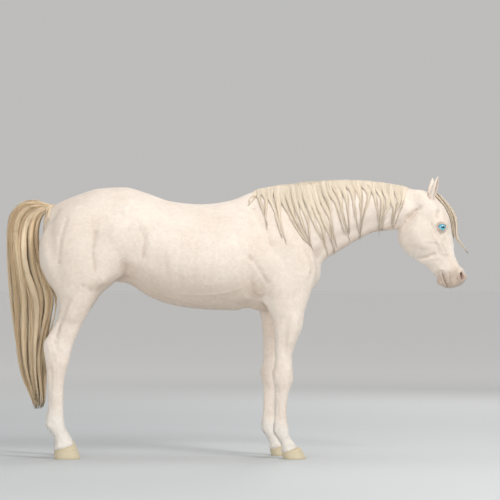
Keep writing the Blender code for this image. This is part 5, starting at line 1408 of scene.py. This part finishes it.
def makeMane(tree):
    setup = maneSetup
    grid = sideRelief(tree, (rump + 1.14, 1.07), (rump + 2.14, 1.6), setup["grid"])
    xs, zs, relief = grid
    alongX, alongZ = np.gradient(relief, setup["grid"])
    leanX, leanZ = (xs, zs, np.clip(alongX, -1.5, 1.5)), (xs, zs, np.clip(alongZ, -3.0, 3.0))
    crest = []
    for x in xs:
        hit = tree.ray_cast(Vector((x, -0.002, 3)), Vector((0, 0, -1)))[0]
        crest.append(hit.z if hit is not None else np.nan)
    crest = np.array(crest)
    t = np.array(setup["knots"])
    total = sum(lock[1] - lock[0] for lock in maneLocks.values())
    firstRoot, lastRoot = maneLocks["wisp"][0], maneLocks["last"][1]
    paths, radii, facing, shades, places = [], [], [], [], []
    for number, (rootA, rootB, notchA, notchB, tip, parts) in enumerate(maneLocks.values()):
        count = int(setup["strands"] * (rootB - rootA) / total)
        s = dice.uniform(-1, 1, count)
        centres = (np.arange(parts) + 0.5) / parts * 2 - 1
        part = np.abs(s[:, None] - centres[None]).argmin(1)
        middle = centres[part]
        edge = np.abs(s - middle) * parts
        jitter = dice.uniform(-0.5, 0.5, parts)
        early = 0.05 + 0.2 * np.abs(centres) ** 1.5 + 0.06 * np.abs(jitter)
        if parts > 1:
            early[np.abs(centres - 0.15).argmin()] = 0.0
        root = np.stack([rump + rootA + (rootB - rootA) * (s + 1) / 2, np.zeros(count)], 1)
        root[:, 1] = np.interp(root[:, 0], xs, crest)
        gather = setup["gather"] * step(t, 0.06, 0.9)
        here = s[:, None] * (1 - gather) + middle[:, None] * gather
        where = (here + 1) / 2
        behind, before = np.array((rump + notchA[0], notchA[1])), np.array((rump + notchB[0], notchB[1]))
        notch = behind * (1 - where[..., None]) + before * where[..., None]
        end = np.array((rump + tip[0], tip[1]))
        full = notch + (end - notch) * (1 - early[part])[:, None, None]
        first = (root[:, None] + notch) / 2 + np.array((-0.01, 0.004)) * (1 if number else -0.5)
        last = (notch + full) / 2 + np.array((-0.004, 0.0))
        rows = np.stack([np.repeat(root[:, None], len(t), 1), first, notch, last, full], 0)
        share = t * 4
        k = np.minimum(share.astype(int), 3)
        f = share - k
        index = np.arange(len(t))
        four = (rows[row, :, index] for row in (np.maximum(k - 1, 0), k, k + 1, np.minimum(k + 2, 4)))
        flat = softBetween(*four, f[:, None, None]).transpose(1, 0, 2)
        stop = 1 - 0.05 * dice.random(count) - 0.25 * (dice.random(count) < 0.1) * dice.random(count)
        flat = smoothPick(flat, t, stop)
        wave = np.sin(t * 8.5 + number * 1.9 + middle[:, None] * 3.1)
        flat[..., 0] += setup["wave"] * wave * step(t, 0.1, 0.6)
        layer = 0.35 + 0.65 * dice.random(count)
        parted = step(t, 0.05, 0.42)[None]
        level = 1 - parted * np.where(part % 2 == 0, 0.0, 0.38)[:, None]
        crown = 1 - parted * (1 - np.sqrt(np.maximum(1 - np.minimum(edge, 1) ** 2 * 0.8, 0.05)))[:, None]
        swell = setup["deep"] * (1 - 0.62 * step(t, 0.25, 1.0)) * step(t, -0.05, 0.16)
        deep = setup["off"] + layer[:, None] * level * crown * swell
        fromEnds = np.minimum(root[:, 0] - rump - firstRoot, rump + lastRoot - root[:, 0])
        deep = 0.0012 + (deep - 0.0012) * (0.2 + 0.8 * step(fromEnds, 0.0, 0.035))[:, None]
        stray = dice.random(count) < 0.035
        deep += stray[:, None] * 0.006 * step(t, 0.1, 0.8) * dice.random(count)[:, None]
        out = readGrid(grid, flat[..., 0], flat[..., 1])
        normal = np.stack([-readGrid(leanX, flat[..., 0], flat[..., 1]), -np.ones_like(out),
                           -readGrid(leanZ, flat[..., 0], flat[..., 1])], 2)
        normal = unit(normal)
        made = np.stack([flat[..., 0], -out, flat[..., 1]], 2) + normal * deep[..., None]
        sideways = dice.uniform(-0.4, 1.0, count) * setup["rootSpread"]
        rootward = 1 - step(t, 0.0, 0.09)
        made[..., 1] += sideways[:, None] * rootward
        made[:, 0, 2] = np.interp(made[:, 0, 0], xs, crest) - 0.006 - 10 * sideways ** 2
        rise = setup["rise"] * np.exp(-((t - 0.05) / 0.06) ** 2)
        made[..., 2] += rise * layer[:, None]
        paths.append(made)
        shape = np.clip(1.1 * (1 - t ** 2.4), 0.15, 1) * (0.75 + 0.25 * step(t, 0.0, 0.05))
        thick = setup["thick"] * dice.uniform(0.75, 1.25, count)[:, None]
        radii.append(thick * shape * np.where(stray, 0.6, 1)[:, None])
        facing.append(normal)
        # painted shade: lower layers, the edges of each sub-lock and every second sub-lock, which lies
        # deeper, are darker; the random spread is the hair's own tone
        layerShadeAndTone = 0.06 + 0.2 * (1 - layer) + dice.normal(0, 0.08, count)
        drawn = 0.42 * np.clip(edge, 0, 1) ** 2.6 + 0.12 * (part % 2)
        shades.append(np.clip(layerShadeAndTone[:, None] + drawn[:, None] * (0.15 + 0.85 * parted), 0, 1))
        places.append(np.stack([0.02 + 0.96 * (root[:, 0] - rump - 1.2) / 0.88,
                                0.5 + 0.45 * sideways / setup["rootSpread"]], 1))
    paths, radii, facing, shades, places = (
        np.concatenate(part) for part in (paths, radii, facing, shades, places))
    made = []
    for k, chosen in enumerate(np.array_split(np.argsort(paths[:, 0, 0]), setup["pieces"])):
        piece = strandPiece(f"maneHair{k + 1}", paths[chosen], radii[chosen], facing[chosen], shades[chosen],
                            places[chosen], maneHair)
        made.append(piece)
    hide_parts("mane")
    return made


def smoothPick(flat, t, stop):  # shortens each strand to its own share of the way
    made = np.empty_like(flat)
    for k in range(len(flat)):
        made[k] = np.stack([np.interp(t * stop[k], t, flat[k, :, c]) for c in (0, 1)], 1)
    return made


skinTree = treeOf(skin)
manePieces = makeMane(skinTree)
print("mane", sum(len(p.data.polygons) for p in manePieces))


# Tufts of the short coat: flat pointed locks over the skin, longest under the body and behind the fetlocks
tuftSetup = {"count": 33000, "pieces": 2, "wide": 0.0015, "standing": 0.14, "turn": 0.22, "flat": 0.22}
tuftLift = ((0.007, 0.015, 0.026), (0.00014, 0.00026, 0.00085))  # longer locks lie further off
tuftZones = {  # how close together and how long, each where its mask holds
    "body": (1.0, 0.012), "under": (1.7, 0.0145), "throat": (2.6, 0.0125), "chest": (1.6, 0.014),
    "leg": (1.9, 0.008), "fetlock": (4.5, 0.02), "coronet": (11.0, 0.01), "face": (2.6, 0.005),
    "ear": (9.0, 0.0075), "flank": (1.6, 0.013),
}


def unwrapped(obj):  # an unwrap of the skin's own shape
    active(obj)
    obj.data.uv_layers.new(name="OFBake")
    bpy.ops.object.mode_set(mode="EDIT")
    bpy.ops.mesh.select_all(action="SELECT")
    bpy.ops.uv.smart_project(angle_limit=math.radians(66), island_margin=0.002)
    bpy.ops.object.mode_set(mode="OBJECT")


def tuftMasks(points, normals):
    ahead, height = points[:, 0] - rump, points[:, 2]
    down, out = headMeasures(points)
    head = headShare(points)
    leg = step(height, 0.75, 0.62)
    masks = {"body": np.ones(len(points)), "under": step(normals[:, 2], -0.3, -0.7) * (height > 0.6),
             "flank": step(ahead, 0.75, 0.62) * step(ahead, 0.3, 0.42) * step(height, 1.15, 1.0)}
    masks["chest"] = step(ahead, 1.48, 1.56) * step(height, 1.25, 1.15) * (height > 0.8)
    masks["leg"] = leg
    back = step(normals[:, 0], 0.1, -0.5)
    masks["fetlock"] = back * step(height, 0.24, 0.2) * step(height, 0.075, 0.1)
    masks["coronet"] = step(height, 0.095, 0.085)
    masks["face"] = head
    masks["throat"] = head * step(out, -0.09, -0.14) * step(down, 0.44, 0.38)
    masks["ear"] = lieOfCoat(points, normals)[1]
    return masks


def makeTufts():
    mesh = skin.data
    mesh.calc_loop_triangles()
    corners = np.empty(len(mesh.loop_triangles) * 3, np.int32)
    mesh.loop_triangles.foreach_get("vertices", corners)
    loops = np.empty(len(corners), np.int32)
    mesh.loop_triangles.foreach_get("loops", loops)
    corners, loops = corners.reshape(-1, 3), loops.reshape(-1, 3)
    points, normals = coordsOf(mesh), normalsOf(mesh)
    a, b, c = (points[corners[:, k]] for k in range(3))
    middle, cross = (a + b + c) / 3, np.cross(b - a, c - a)
    area, flat = np.linalg.norm(cross, axis=1) / 2, unit(cross + 1e-12)
    masks = tuftMasks(middle, flat)
    dense, long = np.ones(len(middle)), np.full(len(middle), tuftZones["body"][1])
    for name, (closeness, length) in tuftZones.items():
        dense += (closeness - dense) * masks[name]
        long += (length - long) * masks[name]
    down, out = headMeasures(middle)
    head = headShare(middle)
    keepOff = fromSpot(down, out, headSetup["eye"]) < 0.024
    keepOff |= fromSpot(down, out, nostrilSetup["at"]) < 0.02
    keepOff |= down > 0.535
    dense = np.where(keepOff & (head > 0.5), 0.0, dense) * (1 - 0.5 * head * step(down, 0.44, 0.5))
    underMane = (middle[:, 0] - rump > 1.21) & (middle[:, 2] > 1.3) & (middle[:, 1] < 0) & (head < 0.5)
    dense = np.where(underMane, 0.3 * dense, dense)
    weight = area * dense
    count = tuftSetup["count"] // 1
    chosen = dice.choice(len(middle), count, p=weight / weight.sum())
    u, v = dice.random(count), dice.random(count)
    over = u + v > 1
    u[over], v[over] = 1 - u[over], 1 - v[over]
    shares = np.stack([1 - u - v, u, v], 1)
    root = (points[corners[chosen]] * shares[..., None]).sum(1)
    normal = unit((normals[corners[chosen]] * shares[..., None]).sum(1))
    # each tuft takes the skin's colour at its root, painted shade included
    colour = (skinColour[corners[chosen]] * shares[..., None]).sum(1)
    uv = np.empty(len(mesh.loops) * 2, np.float32)
    mesh.uv_layers["OFBake"].uv.foreach_get("vector", uv)
    places = (uv.reshape(-1, 2)[loops[chosen]] * shares[..., None]).sum(1)
    way = lieOfCoat(root, normal)[0]
    way = unit(way + dice.normal(0, tuftSetup["turn"], (count, 1)) * np.cross(normal, way))
    length = long[chosen] * dice.uniform(0.85, 1.6, count)
    fringe = root[:, 2] < 0.1
    lift = np.interp(length, *tuftLift)
    tipLift = np.where(dice.random(count) < tuftSetup["standing"], dice.uniform(0.0006, 0.0012, count), lift)
    tree = treeOf(skin)
    paths = np.empty((count, 3, 3))
    paths[:, 0] = root - normal * 0.0004
    for k, (share, rise) in enumerate(((0.5, lift), (1.0, tipLift)), 1):
        aim = root + way * (length * share)[:, None]
        for n in range(count):
            near, facing = tree.find_nearest(Vector(aim[n]))[:2]
            if fringe[n] or near is None:
                near, facing = Vector(aim[n]), Vector(normal[n])
            paths[n, k] = np.array(near) + np.array(facing) * rise[n]
    wide = tuftSetup["wide"] * (0.5 + 0.5 * np.clip(length / 0.015, 0, 1)) * dice.uniform(0.7, 1.3, count) / 2
    radii = wide[:, None] * np.array((0.8, 1.0, 0.1))[None]
    tone = dice.uniform(0.96, 1.07, count)
    colour[:, :3] = np.clip(colour[:, :3] * tone[:, None], 0, 0.92)
    material = tuftMaterial()
    for k, part in enumerate(np.array_split(np.argsort(root[:, 0]), tuftSetup["pieces"])):
        piece = strandPiece(f"coatTufts{k + 1}", paths[part], radii[part], normal[part], np.zeros(len(part)),
                            places[part], material, colour[part], tuftSetup["flat"])
        yield piece


def tuftMaterial():  # locks of the short coat, a little lighter at their tips
    material, tree, shader = newMaterial("shortCreamCoatLocks")
    where = addNode(tree, "TexCoord").outputs["Object"]
    colour = addNode(tree, "Attribute", attribute_name="coatColour")
    down = addNode(tree, "Attribute", attribute_name="down").outputs["Fac"]
    fine = addNode(tree, "TexNoise", {"Vector": where, "Scale": 700.0, "Detail": 2.0})
    speckle = addNode(tree, "MapRange", {"Value": fine, "To Min": 0.92, "To Max": 1.04})
    tipLight = addNode(tree, "MapRange", {"Value": down, "To Min": 0.94, "To Max": 1.05})
    light = addNode(tree, "Math", {0: speckle, 1: tipLight}, operation="MULTIPLY")
    finished(tree, shader, {
        "Base Color": addNode(tree, "VectorMath", {0: colour, "Scale": light}, operation="SCALE"),
        "Roughness": addNode(tree, "MapRange", {"Value": fine, "To Min": 0.58, "To Max": 0.74}),
        "Normal": addNode(tree, "Bump", {"Height": fine, "Strength": 0.25, "Distance": 0.0004}),
        "Sheen Weight": 0.18})
    return material


unwrapped(skin)
print("skin unwrapped")
tuftPieces = list(makeTufts())
print("tufts", sum(len(p.data.polygons) for p in tuftPieces))


# Lashes, feelers round the nose and chin, and the longer hair inside the ears
fineSetup = {"lashes": 70, "feelers": 90, "earHairs": 110, "knots": 6}


def bristles(name, roots, ways, bends, lengths, radius, colours):
    share = np.linspace(0, 1, fineSetup["knots"])[None, :, None]
    paths = roots[:, None] + (ways[:, None] * share + bends[:, None] * share ** 2) * lengths[:, None, None]
    thick = radius * np.clip(1.05 - share[..., 0], 0.12, 1) * np.ones((len(roots), 1))
    places = np.stack([0.1 + 0.8 * (roots[:, 0] - roots[:, 0].min()) / max(np.ptp(roots[:, 0]), 1e-6),
                       0.1 + 0.8 * (roots[:, 2] - roots[:, 2].min()) / max(np.ptp(roots[:, 2]), 1e-6)], 1)
    piece = strandPiece(name, paths, thick, unit(ways + np.array((0.3, 0.1, 0.2))),
                        dice.uniform(*colours, len(roots)), places, maneHair)
    return piece


def makeLashes():
    roots, ways, bends, lengths = [], [], [], []
    for side in (-1, 1):
        forward, up, out = (np.array(way) for way in axesAt(side, eyeSetup["gaze"]))
        centre = np.array(eyeCentre(side))
        turns = np.radians(dice.uniform(22, 165, fineSetup["lashes"]))
        reach = roundOpening(eyeSetup["opening"], turns) + 0.001
        place = (centre + np.cos(turns)[:, None] * forward * reach[:, None]
                 + np.sin(turns)[:, None] * up * reach[:, None])
        for k, spot in enumerate(place):
            hit = skinTree.ray_cast(Vector(spot + out * 0.08), Vector(-out))[0]
            if hit is None:
                continue
            roots.append(np.array(hit) - out * 0.0006)
            ways.append(unit(out * 0.85 - up * 0.25 + forward * 0.35 * math.cos(turns[k])))
            bends.append(up * 0.3)
            lengths.append(0.011 + 0.006 * math.sin(turns[k]) * dice.uniform(0.7, 1.2))
    return bristles("eyelashes", np.array(roots), np.array(ways), np.array(bends), np.array(lengths), 0.00022,
                    (0.3, 0.7))


def chosenPoints(mask, count):
    chosen = dice.choice(np.flatnonzero(mask), count, replace=False)
    return coordsOf(skin.data)[chosen], normalsOf(skin.data)[chosen]


def makeFeelers():
    points = coordsOf(skin.data)
    down, out = headMeasures(points)
    apart = fromSpot(down, out, nostrilSetup["at"])
    mask = (headShare(points) > 0.9) & (down > 0.48) & (out < 0.055) & (apart > 0.024)
    roots, facing = chosenPoints(mask, fineSetup["feelers"])
    ways = unit(facing * 0.8 + downWay * 0.35 - np.array((0, 0, 0.35)) + dice.normal(0, 0.15, roots.shape))
    bends = dice.normal(0, 0.1, roots.shape) - np.array((0, 0, 0.15))
    lengths = dice.uniform(0.01, 0.03, len(roots))
    return bristles("muzzleFeelers", roots - facing * 0.0006, ways, bends, lengths, 0.0002, (0.2, 0.8))


def makeEarHairs():
    points, hollow = coordsOf(skin.data), hollowsOf(skin)
    inEar = (points[:, 2] > 1.462) & (points[:, 0] > 1.06) & (points[:, 0] < 1.142)
    inEar &= np.abs(points[:, 1]) > 0.038
    roots, facing = chosenPoints(inEar & (hollow > 0.3), fineSetup["earHairs"])
    ways = unit(facing * 0.45 + np.array((0.1, 0, 1.0)) + dice.normal(0, 0.18, roots.shape))
    bends = facing * 0.2
    lengths = dice.uniform(0.008, 0.018, len(roots))
    return bristles("innerEarHair", roots - facing * 0.0006, ways, bends, lengths, 0.00028, (0.1, 0.5))


for made in (makeLashes(), makeFeelers(), makeEarHairs()):
    print(made.name, len(made.data.polygons))


hoofSetup = {"levels": 3, "rings": 8, "ridge": 0.00055, "wall": 0.0085, "sole": 0.0055, "frog": 0.0042,
             "coronet": 0.085}


# Pale horn of the hoof wall: grown in rings, finely lined, dulled and scuffed at the ground.
def hornMaterial():
    material, tree, shader = newMaterial("paleHoofHorn")
    turn = addNode(tree, "Attribute", attribute_name="hoofTurn").outputs["Fac"]
    up = addNode(tree, "Attribute", attribute_name="hoofUp").outputs["Fac"]
    where = addNode(tree, "TexCoord").outputs["Object"]
    around = addNode(tree, "CombineXYZ", {"X": turn, "Y": up, "Z": 0.0})
    upright = addNode(tree, "Mapping", {"Vector": around, "Scale": (70.0, 3.0, 1.0)})
    lines = addNode(tree, "TexNoise", {"Vector": upright, "Scale": 1.0, "Detail": 4.0})  # about 1.5 mm apart
    level = addNode(tree, "Mapping", {"Vector": around, "Scale": (1.2, 14.0, 1.0)})
    bands = addNode(tree, "TexNoise", {"Vector": level, "Scale": 1.0, "Detail": 3.0})
    scuffs = addNode(tree, "TexNoise", {"Vector": where, "Scale": 180.0, "Detail": 4.0})
    colour = addNode(tree, "ValToRGB", {"Fac": bands})
    setStops(colour, (0.3, "#CDBF9F"), (0.7, "#DFD4BA"))
    low = addNode(tree, "MapRange", {"Value": up, "From Max": 0.22, "To Min": 0.55, "To Max": 0.0})
    worn = addNode(tree, "Math", {0: low, 1: scuffs}, operation="MULTIPLY")
    colour = layered(tree, colour,
                     ("#BCA97F", lines, (0.35, 0.7), (0.0, 0.18)),
                     ("#9C8C70", worn, (0.0, 1.0), (0.0, 1.0)),
                     ("#CBB790", up, (0.86, 0.97), (0.0, 0.5)))  # the soft new horn under the hair
    relief = addNode(tree, "Math", {0: lines, 1: bands}, operation="ADD")
    finished(tree, shader, {
        "Base Color": colour,
        "Roughness": addNode(tree, "MapRange", {"Value": scuffs, "To Min": 0.38, "To Max": 0.62}),
        "Normal": addNode(tree, "Bump", {"Height": relief, "Strength": 0.3, "Distance": 0.0007})})
    return material


def makeHoof(node, name, material):
    low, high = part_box(node)
    hoof = copyOf(node, name, toQuads=True)
    active(hoof)
    bpy.ops.object.mode_set(mode="EDIT")
    bm = bmesh.from_edit_mesh(hoof.data)
    crease = bm.edges.layers.float.get("crease_edge") or bm.edges.layers.float.new("crease_edge")
    for edge in bm.edges:
        facing = [face.normal.z for face in edge.link_faces]
        if min(facing) < -0.9 < max(facing):
            edge[crease] = 0.9
        if max(facing) > 0.75 > min(facing) + 0.001:
            edge[crease] = 0.55
    bmesh.update_edit_mesh(hoof.data)
    bpy.ops.object.mode_set(mode="OBJECT")
    applied(hoof, "SUBSURF", levels=hoofSetup["levels"], render_levels=hoofSetup["levels"])
    points, normals = coordsOf(hoof.data), normalsOf(hoof.data)
    middle = np.array(((low.x + high.x) / 2 - 0.008, (low.y + high.y) / 2))
    slope = 0.58 * (points[:, 0] - low.x) / (high.x - low.x - 0.035)  # the wall is lowest at the heel
    top = low.z + (high.z - low.z) * np.clip(0.42 + slope, 0.3, 1)
    up = np.clip(points[:, 2] / top, 0, 1)
    turn = np.arctan2(points[:, 1] - middle[1], points[:, 0] - middle[0])
    wall = (np.abs(normals[:, 2]) < 0.75) & (points[:, 2] > 0.003)
    ring = np.sin(2 * math.pi * hoofSetup["rings"] * up ** 0.85 + 0.4 * np.sin(turn * 2)) * hoofSetup["ridge"]
    points = points + normals * (ring * wall - 0.0004 * wall)[:, None]
    sole = (points[:, 2] < 0.0015) & (normals[:, 2] < -0.5)
    edge = points[(points[:, 2] < 0.0035) & ~sole][:, :2]
    apart = np.zeros(len(points))
    if len(edge):
        apart[sole] = np.linalg.norm(points[sole][:, None, :2] - edge[None], axis=2).min(1)
    dish = step(apart, hoofSetup["wall"] * 0.6, hoofSetup["wall"] * 1.5) * hoofSetup["sole"]
    ahead = (points[:, 0] - low.x) / (high.x - low.x)
    across = np.abs(points[:, 1] - middle[1])
    frog = 1 - step(across, 0.014 * (1 - ahead) + 0.003, 0.024 * (1 - ahead) + 0.006)
    frog *= 1 - step(ahead, 0.55, 0.68)
    points[:, 2] += np.where(sole, dish - frog * np.minimum(dish, hoofSetup["frog"]), 0)
    points[:, 2] = np.maximum(points[:, 2], 0.0)
    drawn = 1 - hoofSetup["coronet"] * step(up, 0.86, 1.0) ** 1.5  # the wall turns in under the hair
    points[:, :2] = middle + (points[:, :2] - middle) * drawn[:, None]
    setCoords(hoof.data, points)
    painted(hoof, "hoofUp", up)
    painted(hoof, "hoofTurn", turn / math.pi)
    active(hoof)
    bpy.ops.object.shade_smooth()
    hoof.data.materials.append(material)
    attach(hoof, "root")
    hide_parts(node)
    return hoof


horn = hornMaterial()
for node, name in hoofNodes.items():
    makeHoof(node, name, horn)
print("hooves")


# Floor, camera and lights
stageSetup = {"near": "#C6CACC", "far": "#FCFCFC", "nearTo": 2.5, "farFrom": 11.0, "radius": 60.0}
cameraSetup = {"away": 15.0, "x": 0.0731, "height": 1.165, "wide": 2.815}
airSetup = {"colour": "#F3F2F0", "strength": 0.57}
lights = {  # where each stands, what it points at, its size, power and colour
    "keyLight": ((4.2, -4.6, 5.4), (0.0, 0.0, 0.9), 2.2, 262, (1.0, 0.985, 0.965)),
    "fillLight": ((-2.6, -6.4, 1.9), (0.0, 0.0, 0.8), 4.0, 125, (1.0, 0.99, 0.98)),
    "topLight": ((0.0, 0.5, 6.0), (0.0, 0.0, 0.9), 4.0, 60, (1.0, 1.0, 1.0)),
    "backLight": ((2.0, 5.5, 3.6), (0.0, 0.0, 1.0), 3.0, 70, (1.0, 0.98, 0.96)),
}


def makeStage():  # a level floor that pales with distance until it meets the studio air without a line
    bpy.ops.object.select_all(action="DESELECT")
    bpy.ops.mesh.primitive_circle_add(vertices=128, radius=stageSetup["radius"], fill_type="NGON")
    floor = bpy.context.active_object
    floor.name = "studioFloor"
    material, tree, shader = newMaterial("paintedStudioFloor")
    where = addNode(tree, "TexCoord").outputs["Object"]
    away = addNode(tree, "VectorMath", {0: where}, operation="LENGTH")
    fade = addNode(tree, "MapRange", {"Value": away, "From Min": stageSetup["nearTo"],
                                      "From Max": stageSetup["farFrom"]}, interpolation_type="SMOOTHSTEP")
    near, far = linear(stageSetup["near"]), linear(stageSetup["far"])
    grain = addNode(tree, "TexNoise", {"Scale": 3.0, "Detail": 3.0})
    finished(tree, shader, {
        "Base Color": addNode(tree, "Mix", {"Factor": fade, "A": near, "B": far}, data_type="RGBA"),
        "Roughness": addNode(tree, "MapRange", {"Value": grain, "To Min": 0.6, "To Max": 0.75})})
    floor.data.materials.append(material)


def areaLight(name, place, target, size, power, colour):
    data = bpy.data.lights.new(name, "AREA")
    data.shape, data.size, data.energy, data.color = "DISK", size, power, colour
    light = bpy.data.objects.new(name, data)
    bpy.context.scene.collection.objects.link(light)
    light.location = place
    light.visible_camera = False
    light.rotation_euler = (Vector(target) - Vector(place)).to_track_quat("-Z", "Y").to_euler()


def makeCamera():
    data = bpy.data.cameras.new("camera")
    data.sensor_width = 36.0
    data.lens = 36.0 * cameraSetup["away"] / cameraSetup["wide"]
    data.clip_end = 100.0
    camera = bpy.data.objects.new("camera", data)
    bpy.context.scene.collection.objects.link(camera)
    camera.location = (cameraSetup["x"], -cameraSetup["away"], cameraSetup["height"])
    camera.rotation_euler = (math.radians(90), 0, 0)
    bpy.context.scene.camera = camera


makeStage()
makeCamera()
for name, light in lights.items():
    areaLight(name, *light)
world = bpy.data.worlds.new("studioAir")
world.use_nodes = True
air = world.node_tree.nodes["Background"]
air.inputs["Color"].default_value = linear(airSetup["colour"])
air.inputs["Strength"].default_value = airSetup["strength"]
bpy.context.scene.world = world
bpy.context.scene.view_settings.view_transform = "Standard"
print("stage, camera and lights")
